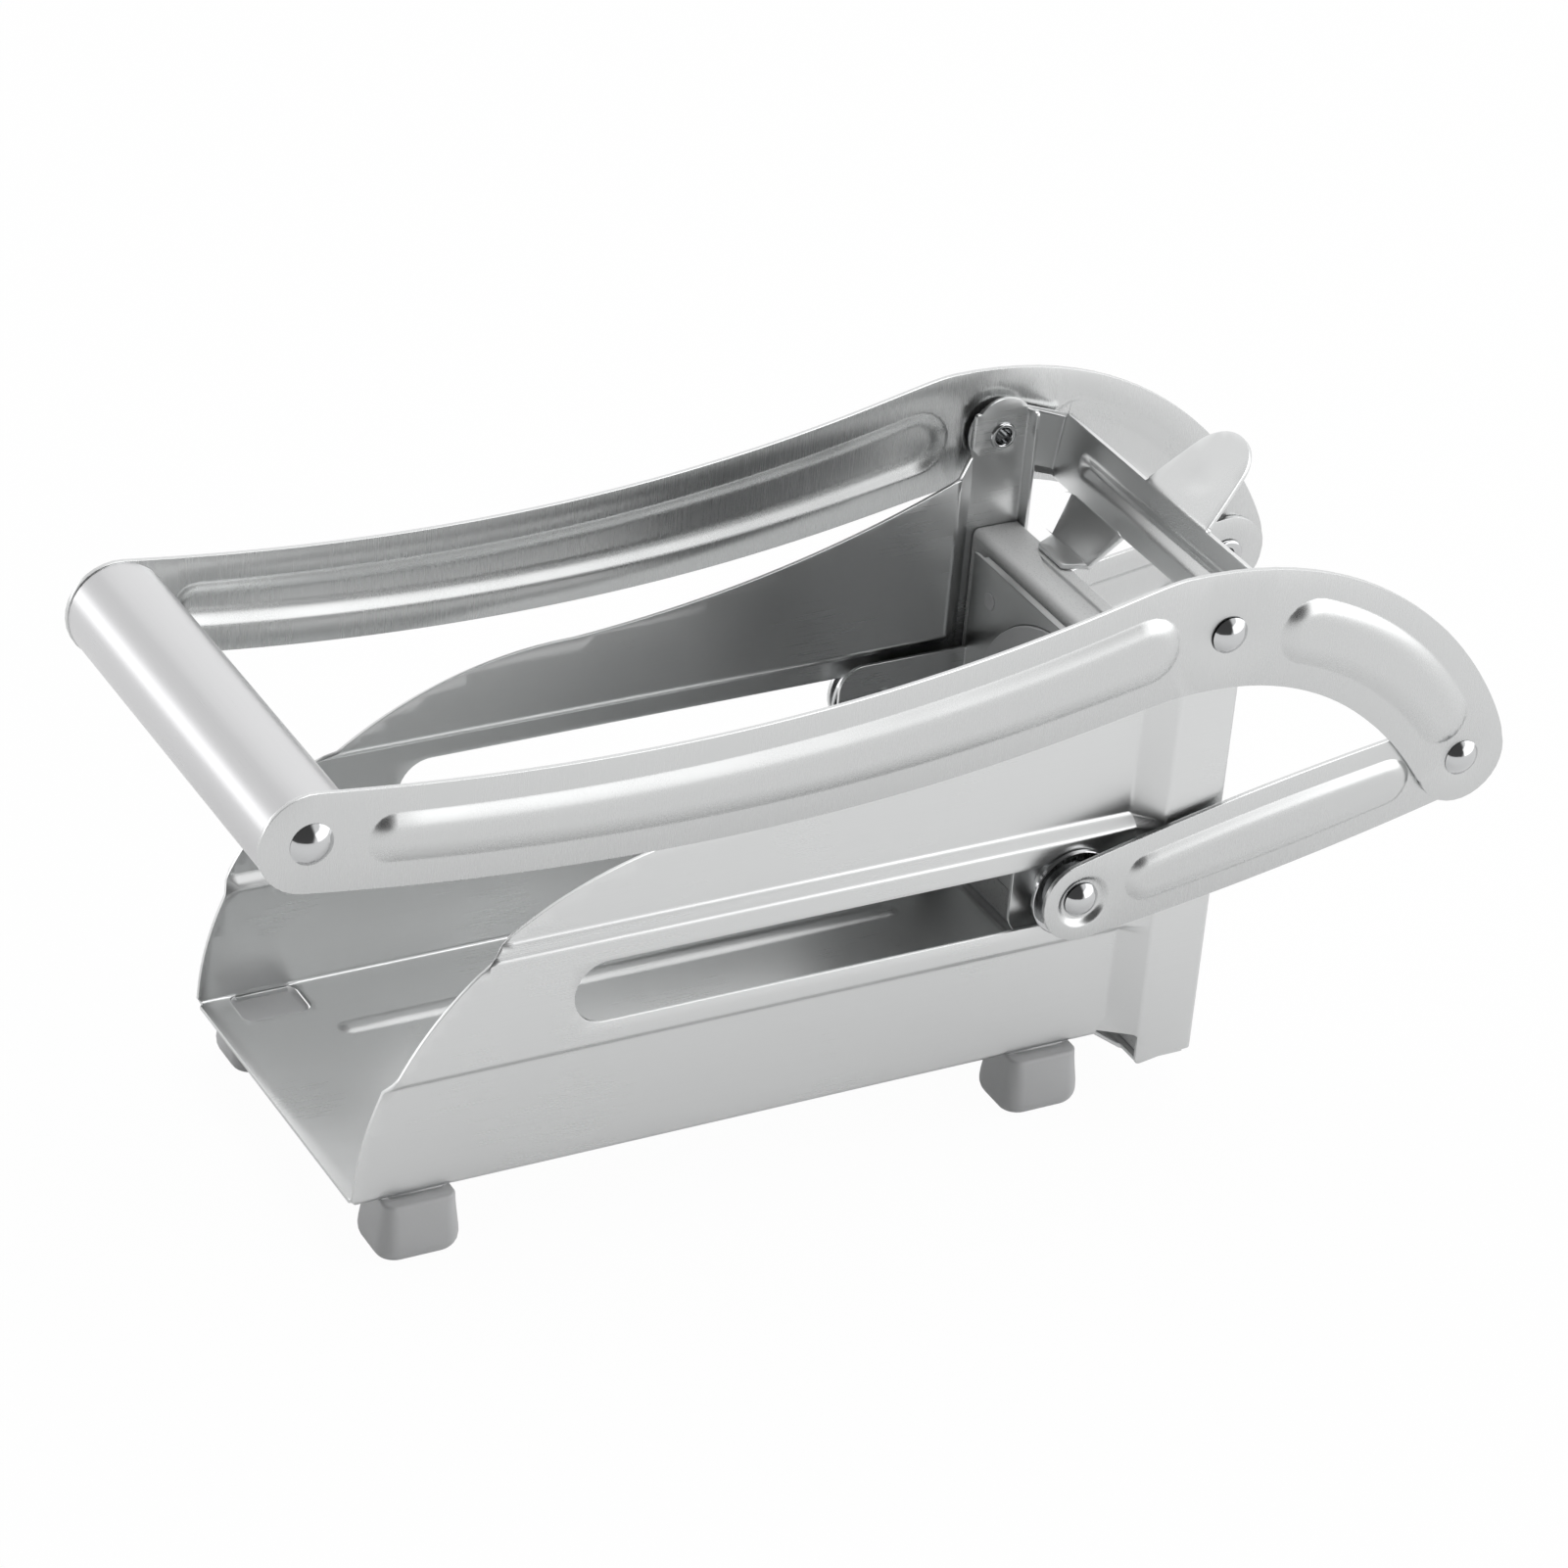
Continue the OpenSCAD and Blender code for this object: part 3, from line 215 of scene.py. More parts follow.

# %% [markdown]
# ## Dressing the imported model
# Blades and plugs keep the shape that they have in the imported model, so they only need a better
# finish. The table goes by the first words of a node's name, and the first match counts. A new
# piece takes its finish by the same table, from the node that it stands for.

# %% The finish of each node
FINISHES = {
    "body_channel": ("steel_sheet", sheet_steel), "lever_arm": ("steel_sheet", arm_steel),
    "link": ("steel_sheet", arm_steel), "pusher_bracket": ("steel_sheet", sheet_steel),
    "clamp_bail": ("steel_sheet", sheet_steel), "handle_tube": ("brushed_tube", tube_steel),
    "blade_frame": ("grey_plastic", pale_abs), "blade": ("blade_steel", blade_steel),
    "foot": ("grey_plastic", grey_abs), "pusher_head": ("grey_plastic", grey_abs),
    "tube_plug": ("grey_plastic", grey_abs),
}


def finish_of(node):
    for words, found in FINISHES.items():
        if node.startswith(words):
            return found
    return "bright_steel", rivet_steel


for name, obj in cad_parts.items():
    if not obj.material_slots:
        obj.data.materials.append(None)
    for place in obj.material_slots:
        place.material = finish_of(name)[1]
print("dressed", len(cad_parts), "nodes of the packed model")

# %% [markdown]
# ## Sheet work
# Most of this cutter is pressed from flat blanks, and it is drawn the same way here. A blank is an
# outline with holes, filled with small triangles by a Delaunay triangulation that keeps every
# outline as edges. Two helpers tell where a point lies, so that no triangle fills a hole and no
# loose point crowds an edge.

# %% Blanks
def inside(loop, points):
    """Which points lie inside a closed loop."""
    hit = np.zeros(len(points), bool)
    px, py = points.T
    for (ax, ay), (bx, by) in zip(loop, np.roll(loop, -1, axis=0)):
        if ay != by:
            hit ^= ((ay > py) != (by > py)) & (px < (bx - ax) * (py - ay) / (by - ay) + ax)
    return hit


def off_edge(loop, points):
    """The distance from each point to a closed loop."""
    best = np.full(len(points), np.inf)
    for a, b in zip(loop, np.roll(loop, -1, axis=0)):
        run = b - a
        t = np.clip(((points - a) @ run) / max(run @ run, 1e-12), 0, 1)
        best = np.minimum(best, np.hypot(*(points - a - t[:, None] * run).T))
    return best


def blank_of(outline, holes=(), rings=(), lattice=None, clear=0.45):
    """Fills an outline with triangles. Returns the points and the triangles."""
    loops = [np.asarray(loop, float) for loop in (outline, *holes, *rings)]
    cut = loops[:1 + len(holes)]
    points = [p for loop in loops for p in loop]
    edges, start = [], 0
    for loop in loops:
        edges += [(start + i, start + (i + 1) % len(loop)) for i in range(len(loop))]
        start += len(loop)
    if lattice is not None:
        keep = inside(cut[0], lattice)
        for loop in cut:
            keep &= off_edge(loop, lattice) > clear
        for hole in cut[1:]:
            keep &= ~inside(hole, lattice)
        points += list(lattice[keep])
    made = delaunay_2d_cdt([Vector(p) for p in points], edges, [], 0, 1e-5)
    flat = np.array([tuple(p) for p in made[0]])
    triangles = np.array(made[2])
    middle = flat[triangles].mean(axis=1)
    good = inside(cut[0], middle)
    for hole in cut[1:]:
        good &= ~inside(hole, middle)
    return flat, triangles[good]


SQUARE = ((0, 0), (1, 0), (1, 1), (0, 1))
print("a square blank has", len(blank_of(SQUARE)[1]), "triangles")

# %% [markdown]
# ## What a press does to a blank
# A press leaves two kinds of step: a soft S where the sheet is drawn up, and a straight flank with
# two rounded corners. A raised form is drawn as rings, which are loops of points that all get one
# height. Every other point of the blank stays where it is.

# %% Steps and rings
SAME_SPOT = 1e-4


def smooth_step(t):
    t = np.clip(t, 0, 1)
    return t * t * (3 - 2 * t)


def ramp(t, soft=0.25):
    """A straight ramp from 0 to 1 whose two corners are rounded over a share of its length."""
    def area(s):
        return np.where(s < 0, 0, np.where(s > 1, s - 0.5, s * s / 2))
    return (area(t + soft) - area(t - soft)) / (2 * soft)


def grid(us, vs):
    return np.array([(u, v) for u in us for v in vs], float)


def ring_heights(flat, rings):
    """The height that its ring gives to each flat point, and zero off the rings."""
    height = np.zeros(len(flat))
    for loop, h in rings:
        for p in loop:
            height[np.abs(flat - p).max(axis=1) < SAME_SPOT] = h
    return height


def pressed(outline, rings, holes):
    """A blank with raised rings: its points, its triangles and the height of each point."""
    flat, triangles = blank_of(outline, holes, [loop for loop, h in rings])
    return flat, triangles, ring_heights(flat, rings)


print("a quarter of the way, the soft step stands at", float(smooth_step(0.25)))

# %% [markdown]
# ## From points to a piece
# The drawing's origin lies on the underside of the tray's floor, below the lever's pivot, and
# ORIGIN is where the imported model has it. A Solidify modifier gives a sheet its thickness, and a
# fine bevel breaks the sheared edges, which catch the light as thin bright lines.

# %% Pieces, thickness and edges
ORIGIN = np.array((61.85, 0, 12))


def piece(name, points, faces, body, *nodes, weld=0.002):
    """A mesh from points in the drawing's millimetres, on a body and in place of CAD nodes."""
    mesh = bpy.data.meshes.new(name)
    places = (np.asarray(points, float) + ORIGIN) * MM
    mesh.from_pydata(places.tolist(), [], [tuple(map(int, face)) for face in faces])
    work = bmesh.new()
    work.from_mesh(mesh)
    bmesh.ops.remove_doubles(work, verts=work.verts, dist=weld * MM)
    work.to_mesh(mesh)
    work.free()
    obj = bpy.data.objects.new(name, mesh)
    scene.collection.objects.link(obj)
    slot, finish = finish_of(nodes[0])
    mesh.materials.append(finish)
    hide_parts(*nodes)
    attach(obj, body)
    return obj


def settle(obj, angle=35):
    """Applies the modifiers. With an angle, shades smoothly except over sharper edges."""
    made = bpy.data.meshes.new_from_object(obj.evaluated_get(bpy.context.evaluated_depsgraph_get()))
    obj.modifiers.clear()
    old, obj.data = obj.data, made
    made.name = old.name
    if angle is not None:
        made.shade_smooth()
        made.set_sharp_from_angle(angle=math.radians(angle))
    return obj


def ease(obj, width, angle, segments):
    """Rounds every edge that is sharper than the angle."""
    bevel = obj.modifiers.new("edges", "BEVEL")
    bevel.width = width * MM
    bevel.segments = segments
    bevel.limit_method = "ANGLE"
    bevel.angle_limit = math.radians(angle)
    bevel.use_clamp_overlap = False
    return obj


def thicken(obj, thickness, edge=0.12):
    """Gives a pressed surface its thickness and breaks its sheared edges."""
    shell = obj.modifiers.new("thickness", "SOLIDIFY")
    shell.thickness = thickness * MM
    shell.offset = -1.0
    shell.use_even_offset = True
    return settle(ease(obj, edge, 50, 2))


print("the drawing's origin is at", ORIGIN.tolist(), "mm in the packed model")

# %% [markdown]
# ## The maker's curves
# The lever's strips follow two cubic Bezier curves: a long shallow one from the handle to the
# crown, and a crook that drops to the rear rivet. A strip is offset from its middle line by half
# its width on both sides and closed with round ends, which is also how the ribs inside it are
# drawn.

# %% Curves and strips
def aim(degrees):
    return np.array((math.cos(math.radians(degrees)), math.sin(math.radians(degrees))))


def bezier(a, b, c, d, t):
    a, b, c, d = (np.asarray(p, float) for p in (a, b, c, d))
    t = np.asarray(t, float)[:, None]
    return (1 - t) ** 3 * a + 3 * (1 - t) ** 2 * t * b + 3 * (1 - t) * t ** 2 * c + t ** 3 * d


def arc(centre, r, start, end, steps):
    return np.array([np.asarray(centre) + r * aim(a) for a in np.linspace(start, end, steps + 1)])


def bore(at, r):
    return arc(at, r, 0, 360, 36)[:-1]


def run_along(line):
    """How far along a line each of its points lies."""
    return np.concatenate(([0], np.cumsum(np.linalg.norm(np.diff(line, axis=0), axis=1))))


def strip(line, half, steps=10):
    """The outline of a strip along a line, with round ends."""
    way = np.gradient(line, axis=0)
    way /= np.linalg.norm(way, axis=1)[:, None]
    across = np.stack((-way[:, 1], way[:, 0]), axis=1) * np.asarray(half, float)[:, None]
    start, end = (math.degrees(math.atan2(w[1], w[0])) for w in (way[0], way[-1]))
    return np.concatenate((
        line + across,
        arc(line[-1], half[-1], end + 90, end - 90, steps)[1:-1],
        (line - across)[::-1],
        arc(line[0], half[0], start - 90, start - 270, steps)[1:-1],
    ))


def softened(points, r, steps=6):
    """A line of points with each corner rounded."""
    points = [np.asarray(p, float) for p in points]
    out = [points[0]]
    for before, at, after in zip(points, points[1:], points[2:]):
        a = (at - before) / np.linalg.norm(at - before)
        b = (after - at) / np.linalg.norm(after - at)
        back_off = r * math.tan(math.acos(min(a @ b, 1)) / 2)
        first, last = at - a * back_off, at + b * back_off
        for t in np.linspace(0, 1, steps + 1):
            out.append((1 - t) ** 2 * first + 2 * t * (1 - t) * at + t * t * last)
    return np.array(out + [points[-1]])


def round_rect(low, high, r, steps):
    corners = ((high[0] - r, high[1] - r, 0), (low[0] + r, high[1] - r, 90),
               (low[0] + r, low[1] + r, 180), (high[0] - r, low[1] + r, 270))
    return np.concatenate([arc((x, y), r, a, a + 90, steps) for x, y, a in corners])


print("half a circle of radius 1 runs", round(float(run_along(arc((0, 0), 1, 0, 180, 36))[-1]), 3))

# %% [markdown]
# ## The lever's arms
# Each arm is one strip of sheet with two long ribs pressed out of it, which stiffen it against
# bending. A rib's flank is about 4 mm wide, steep at its foot and easing to the top like a dome, so
# it shows as a bright band on the side towards the light and a thin dark line on the other. Rings
# of points round the rib carry that curve: each ring is a little further in and a little higher.
# The sheet keeps its thickness, so the same ring gives the hollow that shows inside the far arm.

# %% The arm's lines and ribs
HANDLE_AT, CROWN_AT, CRANK_AT = (-179.8, -5.4), (-9.588, 0.8928), (56.4, -37.2)
FRONT_W, CROOK_W = (19.3, 22.2, 24.3), (24.3, 22.1, 18.7)
RIB_FOOT, RIB_H, FLANK = 4.8, 1.4, 4.4
flank_steps = np.linspace(0, 1, 13) ** 1.3


def curve(start, end, pulls, t):
    """A Bezier curve. Each end is pulled by a share of their distance, at a slope in degrees."""
    run = math.dist(start, end)
    (a, a_slope), (b, b_slope) = pulls
    return bezier(start, start + a * run * aim(a_slope), end - b * run * aim(b_slope), end, t)


def front_line(t):
    return curve(HANDLE_AT, CROWN_AT, ((0.61, -7.9), (0.07, 3.4)), t)


def crook_line(t):
    return curve(CROWN_AT, CRANK_AT, ((0.63, 3.4), (0.01, -72.8)), t)


def half_width(widths, t):
    """Half the strip's width, from its widths at the start, the middle and the end."""
    return np.interp(t, (0, 0.5, 1), widths) / 2


def flank(t):
    """The height's share at a share of the flank: a short ease, a steep foot, a long shoulder."""
    return 1 - (1 - 1.08 * t * t / (t + 0.08)) ** 2


def rib_rings(line_of, widths, share, steps):
    """Loops round a rib, each further in, with the height that the press gives it."""
    t = np.linspace(*share, steps)
    return [(strip(line_of(t), half_width(widths, t) - RIB_FOOT - FLANK * k),
             RIB_H * float(flank(k))) for k in flank_steps]


print("front line", round(math.dist(HANDLE_AT, CROWN_AT), 1), "mm, crook",
      round(math.dist(CROWN_AT, CRANK_AT), 1), "mm")

# %% Both arms
PIVOT_H, ARM_Y, ARM_T, RIVET_BORE = 88.2, 42.2, 1.0, 2.05
SIDES = ((-1, "right"), (1, "left"))
t_front, t_crook = np.linspace(0, 1, 61), np.linspace(0, 1, 33)[1:]
arm_outline = strip(
    np.concatenate((front_line(t_front), crook_line(t_crook))),
    np.concatenate((half_width(FRONT_W, t_front), half_width(CROOK_W, t_crook))), 16)
arm_rings = (rib_rings(front_line, FRONT_W, (0.05, 0.86), 50)
             + rib_rings(crook_line, CROOK_W, (0.22, 0.69), 22))
arm_bores = (bore((0, 0), RIVET_BORE), bore(CRANK_AT, RIVET_BORE))


def stand_up(name, pressing, foot, face, thickness, body, node):
    """Stands a pressing up on both sides of the cutter, with its raised side outwards."""
    flat, triangles, height = pressing
    for side, word in SIDES:
        where = np.stack((flat[:, 0], side * (face + height), flat[:, 1] + foot), axis=1)
        faces = triangles if side < 0 else triangles[:, ::-1]
        made = piece(f"{name}_{word}", where, faces, body.format(word), node.format(word))
        thicken(made, thickness)
    print(name, len(flat), "points a side")


stand_up("pressed_arm", pressed(arm_outline, arm_rings, arm_bores), PIVOT_H, ARM_Y + ARM_T, ARM_T,
         "handle", "lever_arm_{}")
print("crown", round(PIVOT_H + float(arm_outline[:, 1].max()), 1), "mm up")

# %% [markdown]
# ## The links
# A link is the same kind of pressing: one broad rib, and at the slide pin a shallow dish that sinks
# the rivet's head. The dish is a second set of rings, this time round and going down.

# %% Links
PIN_AT, REAR_AT, LINK_Y, LINK_T = np.array((-23.8, 36.2)), np.array((56.4, 51.0)), 41.0, 1.0
PIN_END_W, REAR_END_W, BULGE = 16.4, 16.8, 1.3
LINK_RIB_FROM, LINK_RIB_STOP, LINK_RIB_HALF, LINK_RIB_H, LINK_FLANK = 0.17, 16.15, 5.2, 1.1, 3.4
DISH_R, DISH_SLOPE, DISH_DEEP = 5.6, 1.7, 0.9
link_len = math.dist(PIN_AT, REAR_AT)


def link_line(t):
    return PIN_AT + np.asarray(t)[:, None] * (REAR_AT - PIN_AT)


t_link = np.linspace(0, 1, 25)
link_half = ((PIN_END_W * (1 - t_link) + REAR_END_W * t_link) / 2
             + BULGE * 4 * t_link * (1 - t_link))
rib_t = np.linspace(LINK_RIB_FROM, 1 - LINK_RIB_STOP / link_len, 21)
rib_half = LINK_RIB_HALF + 0.5 * np.sin(np.linspace(0, math.pi, 21))
link_rings = [(strip(link_line(rib_t), rib_half - LINK_FLANK * k, 12), LINK_RIB_H * float(flank(k)))
              for k in flank_steps]
link_rings += [(arc(PIN_AT, DISH_R - DISH_SLOPE * k, 0, 360, 48)[:-1],
                -DISH_DEEP * float(smooth_step(k))) for k in flank_steps]
link_pressing = pressed(strip(link_line(t_link), link_half, 16), link_rings,
                        (bore(REAR_AT, RIVET_BORE),))
# Points inside the dish's last ring belong to its floor
link_flat, _, link_height = link_pressing
link_height[np.hypot(*(link_flat - PIN_AT).T) < DISH_R - DISH_SLOPE + 0.05] = -DISH_DEEP
stand_up("pressed_link", link_pressing, 0, LINK_Y + LINK_T, LINK_T, "link_{}_side", "link_{}")
print("link", round(link_len, 1), "mm between its pins")

# %% [markdown]
# ## The tray
# The tray is one sheet: floor, two walls with a slotted band pressed outwards, a joggle to the
# wider blade pocket, ears for the lever's pivot and lips that keep the cartridge in. A folded sheet
# unrolls, so half of it is drawn flat with one coordinate along the tray and one across the sheet,
# from the middle of the floor, round the fold and up the wall. The flat points are then wrapped
# into place. Rows stand close together where the sheet bends, and far apart where it is flat.

# %% The tray's sizes
TRAY_Y, POCKET_Y, FOLD_R, SHEET_T, FLOOR_EDGE = 35.4, 40.0, 1.4, 0.8, 34.0
FRONT, NOSE_END, WALL_END, POCKET_START, POCKET_END = -165.4, -91.8, -11.4, -6.4, 6.1
NOSE_LEN, NOSE_H, WALL_RISE, WALL_TOP, POCKET_DROP = 73.6, 64.0, 18.8, 82.8, 5.0
BAND_LOW, BAND_HIGH, BAND_OUT, BAND_SLOPE, BAND_BENDS = 25.4, 47.0, 2.3, 1.9, (24.45, 47.95)
PIN_H, SLOT_R, SLOT_ENDS = 36.2, 6.4, (-118.84, -23.6)
FEET_X, TAB_HALF, NOTCH_HALF, NOTCH_IN, NOTCH_R = (-152.8, -24.8), 5.2, 6.8, 25.0, 2.4
BEAD_Y, BEAD_R, BEAD_EDGE, BEAD_H, BEAD_ENDS = 17.0, 2.5, 2.1, 0.4, (-142.4, -28.9)
SEAM = WALL_END - FOLD_R
FOLD_ROW = FOLD_R * (1 - math.pi / 2)
UNROLL = TRAY_Y - FOLD_R - FOLD_ROW
print("a fold of", FOLD_R, "mm takes", round(FOLD_R - FOLD_ROW, 2), "mm of sheet")

# %% Rows across the sheet and stations along it
def dense(middle, half, step):
    return np.arange(middle - half, middle + half + step / 2, step)


def rows_of(*runs):
    """One sorted list of stations, with near doubles left out."""
    every = np.sort(np.concatenate([np.atleast_1d(np.asarray(run, float)) for run in runs]))
    return every[np.concatenate(([True], np.diff(every) > 0.12))]


floor_y = rows_of(np.arange(0, 13.5, 3.2), dense(BEAD_Y, 3.2, 0.4), np.arange(21, 33, 2.6),
                  FLOOR_EDGE)
fold_rows = np.linspace(FOLD_ROW, FOLD_R, 7)
wall_z = rows_of(np.arange(FOLD_R, 22, 3.2), dense(BAND_BENDS[0], 1.6, 0.2),
                 np.arange(27.4, 45.6, 3.2), dense(BAND_BENDS[1], 1.6, 0.2), np.arange(51, 82, 3.2))
tray_x = rows_of(np.arange(FRONT, SEAM, 2.6), *(dense(x, 2.8, 0.5) for x in BEAD_ENDS), SEAM)
all_rows = np.concatenate((floor_y - UNROLL, fold_rows[1:-1], wall_z))
print(len(all_rows), "rows,", len(tray_x), "stations")

# %% The wall's upper edge and the flat pattern
NOSE_FROM, RISE_PULLS = 1.254, (0.11, 0.4)
nose_a = np.radians(np.concatenate((np.linspace(NOSE_FROM, 12, 8), np.linspace(12, 90, 44)[1:])))
nose = np.stack((NOSE_END - NOSE_LEN * np.cos(nose_a), NOSE_H * np.sin(nose_a)), axis=1)
third = (WALL_END - NOSE_END) / 3
rise = bezier((NOSE_END, NOSE_H), (NOSE_END + third, NOSE_H + WALL_RISE * RISE_PULLS[0]),
              (WALL_END - third, NOSE_H + WALL_RISE * RISE_PULLS[1]), (WALL_END, WALL_TOP),
              np.linspace(0, 1, 200))
rise_x = np.linspace(NOSE_END, SEAM, 32)[1:]
wall_edge = np.concatenate((nose, np.stack((rise_x, np.interp(rise_x, *rise.T)), axis=1)))
seam_z = wall_edge[-1, 1]
seam_rows = all_rows[all_rows < seam_z - 0.4]
# The front edge is set back a little where it turns round the fold
fold_corner = [(FRONT, FOLD_ROW - 0.4), (FRONT + 0.5, FOLD_ROW - 0.3), (FRONT + 0.6, 0.1),
               (FRONT + 0.4, 0.7)]
tray_outline = np.concatenate((
    [(FRONT, v) for v in floor_y[:-1] - UNROLL],
    fold_corner,
    wall_edge,
    [(SEAM, v) for v in seam_rows[::-1]],
    [(x, -UNROLL) for x in tray_x[1:-1][::-1]],
))
notches = [round_rect((x - NOTCH_HALF, NOTCH_IN - UNROLL), (x + NOTCH_HALF, 0.3), NOTCH_R, 8)
           for x in FEET_X]
slot = np.concatenate((arc((SLOT_ENDS[0], PIN_H), SLOT_R, 90, 270, 20),
                       arc((SLOT_ENDS[1], PIN_H), SLOT_R, -90, 90, 20)))
tray_flat, tray_triangles = blank_of(tray_outline, (*notches, slot), lattice=grid(tray_x, all_rows))
print("flat pattern", len(tray_flat), "points, seam at", round(float(seam_z), 2), "mm")

# %% Wrapping the flat pattern round the fold
def band(z):
    """How far the slotted band stands out of the wall at a height."""
    low = ramp((z - BAND_LOW + BAND_SLOPE) / BAND_SLOPE)
    high = ramp((z - BAND_HIGH) / BAND_SLOPE)
    return BAND_OUT * (low - high)


def floor_bead(x, y):
    """The height of the floor's pressed bead."""
    d = np.hypot(x - np.clip(x, *BEAD_ENDS), y - BEAD_Y)
    return BEAD_H * smooth_step((BEAD_R - d) / BEAD_EDGE)


def wrap_tray(flat):
    x, v = flat.T
    turn = (FOLD_R - v) / FOLD_R
    on_fold, on_floor = v < FOLD_R, v <= FOLD_ROW + 1e-6
    y = TRAY_Y + band(v)
    z = v.copy()
    y[on_fold] = (TRAY_Y - FOLD_R + FOLD_R * np.cos(turn))[on_fold]
    z[on_fold] = (FOLD_R - FOLD_R * np.sin(turn))[on_fold]
    y[on_floor] = (v + UNROLL)[on_floor]
    z[on_floor] = floor_bead(x, y)[on_floor]
    return np.stack((x, y, z), axis=1)


tray_points = wrap_tray(tray_flat)
print("wrapped, the tray reaches", round(float(tray_points[:, 1].max()), 2), "mm from the middle")

# %% [markdown]
# ## The blade pocket
# Behind the tray the walls step out and the floor steps down, to make room for the cartridge. Both
# steps are lines with rounded corners. The side is drawn flat in the distance along its line and
# the height, and the floor in the distance along its line and the distance from the middle. Each is
# then bent along its line. The foot tabs are plain tongues.

# %% The pocket's sides, ears and lips
LIP_DEEP, JOGGLE_U, JOGGLE_TOP = 3.6, 1.4, 84.87
EAR_R, EAR_UP, SHOULDER = 6.5, 1.5, PIVOT_H + 5.3
plan = softened([(SEAM, TRAY_Y), (WALL_END, TRAY_Y), (POCKET_START, POCKET_Y),
                 (POCKET_END, POCKET_Y), (POCKET_END, POCKET_Y - LIP_DEEP)], FOLD_R, 8)
plan_u = run_along(plan)
on_flat = plan[:, 1] > POCKET_Y - 1e-6
pivot_u = float(plan_u[on_flat][0] - plan[on_flat][0, 0])
start_u, end_u = pivot_u + POCKET_START, float(plan_u[-1])
ear = arc((pivot_u, PIVOT_H + EAR_UP), EAR_R, 36, 144, 20)
side_outline = np.concatenate((
    softened([(JOGGLE_U, FOLD_R), (start_u, FOLD_R), (start_u, -POCKET_DROP), (end_u, -POCKET_DROP),
              (end_u, SHOULDER), ear[0]], 1.0)[1:-1],
    ear,
    softened([ear[-1], (start_u, SHOULDER), (start_u, JOGGLE_TOP), (JOGGLE_U, WALL_TOP),
              (0, seam_z)], 0.7)[1:-1],
    [(0, seam_z)],
    [(0, v) for v in seam_rows[seam_rows >= FOLD_R - 1e-6][::-1]],
))
side_rows = np.concatenate(((-4.0, -1.5), wall_z, (84, 87, 90, 93)))
side_u = rows_of(plan_u, np.arange(start_u + 2, end_u - 6, 2.5))
side_flat, side_triangles = blank_of(side_outline, (bore((pivot_u, PIVOT_H), RIVET_BORE),),
                                     lattice=grid(side_u, side_rows), clear=0.3)


def wrap_side(flat):
    u, z = flat.T
    x, y = np.interp(u, plan_u, plan[:, 0]), np.interp(u, plan_u, plan[:, 1])
    return np.stack((x, y + np.maximum(band(z) - (y - TRAY_Y), 0) * (x < POCKET_START), z), axis=1)


print("side", len(side_flat), "points, pivot", round(pivot_u, 2), "mm along it")

# %% The pocket's floor and the foot tabs
LIP_FLAT, LIP_HALF, POCKET_HALF = 4.4, 36.4, 39.2
TAB_Y, TAB_LOW, TAB_TOP = TRAY_Y - 0.85, -7, 0.6
drop = softened([(SEAM, 0), (WALL_END, 0), (POCKET_START, -POCKET_DROP), (POCKET_END, -POCKET_DROP),
                 (POCKET_END, LIP_DEEP - POCKET_DROP)], FOLD_R, 8)
drop_u = run_along(drop)
low_u = float(drop_u[drop[:, 1] < -POCKET_DROP + 1e-6][0])
lip_u = float(drop_u[-1]) - LIP_FLAT
pocket_u = rows_of(drop_u, np.arange(low_u + 2, lip_u, 2.5))
pocket_outline = np.concatenate((
    [(u, 0) for u in pocket_u],
    softened([(pocket_u[-1], 0), (pocket_u[-1], LIP_HALF), (lip_u, LIP_HALF), (lip_u, POCKET_HALF),
              (low_u, POCKET_HALF), (low_u, FLOOR_EDGE), (0, FLOOR_EDGE)], 0.6)[1:-1],
    [(0, y) for y in floor_y[1:][::-1]],
))
pocket_flat, pocket_triangles = blank_of(pocket_outline, lattice=grid(pocket_u, floor_y), clear=0.3)
along, across = pocket_flat.T
pocket_points = np.stack((np.interp(along, drop_u, drop[:, 0]), across,
                          np.interp(along, drop_u, drop[:, 1])), axis=1)
tab_points = np.array([(x + a * TAB_HALF, TAB_Y, z) for x in FEET_X
                       for a, z in ((-1, TAB_LOW), (1, TAB_LOW), (1, TAB_TOP), (-1, TAB_TOP))])
tab_faces = np.array([(0, 1, 2), (0, 2, 3), (4, 5, 6), (4, 6, 7)])
print("pocket floor", len(pocket_flat), "points, lip at", round(lip_u, 2), "mm")

# %% The whole sheet
half_points, half_faces = [], []
for points, triangles in ((tray_points, tray_triangles), (wrap_side(side_flat), side_triangles),
                          (pocket_points, pocket_triangles), (tab_points, tab_faces)):
    half_faces.append(triangles + sum(len(p) for p in half_points))
    half_points.append(points)
half_points, half_faces = np.concatenate(half_points), np.concatenate(half_faces)
both_points = np.concatenate((half_points, half_points * (1, -1, 1)))
both_faces = np.concatenate((half_faces[:, ::-1], half_faces + len(half_points)))
tray = piece("folded_tray", both_points, both_faces, "housing", "body_channel")
thicken(tray, SHEET_T, edge=0.1)
print("tray", len(both_points), "points")

# %% [markdown]
# ## Turned pieces
# Rivets, washers, pins and the grip tube are round about an axis across the cutter, so each is a
# short profile of distance and radius spun round that axis. A real rivet head is a low dome with a
# rolled foot, and its tail is hollow and curled over like an eyelet, which is what shows inside.

# %% Turning
SHANK_R, HEAD_R, HEAD_H, COLLAR_R, CURL_H = 2.0, 3.6, 1.8, 2.9, 0.5


def tube_faces(rings, count):
    """Quads between rings of points that follow each other."""
    return [(k * count + i, k * count + (i + 1) % count, (k + 1) * count + (i + 1) % count,
             (k + 1) * count + i) for k in range(rings - 1) for i in range(count)]


def face_outwards(obj):
    """Drops what has no length or area, and turns every face outwards."""
    bm = bmesh.new()
    bm.from_mesh(obj.data)
    bmesh.ops.dissolve_degenerate(bm, dist=1e-7, edges=bm.edges)
    bmesh.ops.recalc_face_normals(bm, faces=bm.faces)
    bm.to_mesh(obj.data)
    bm.free()


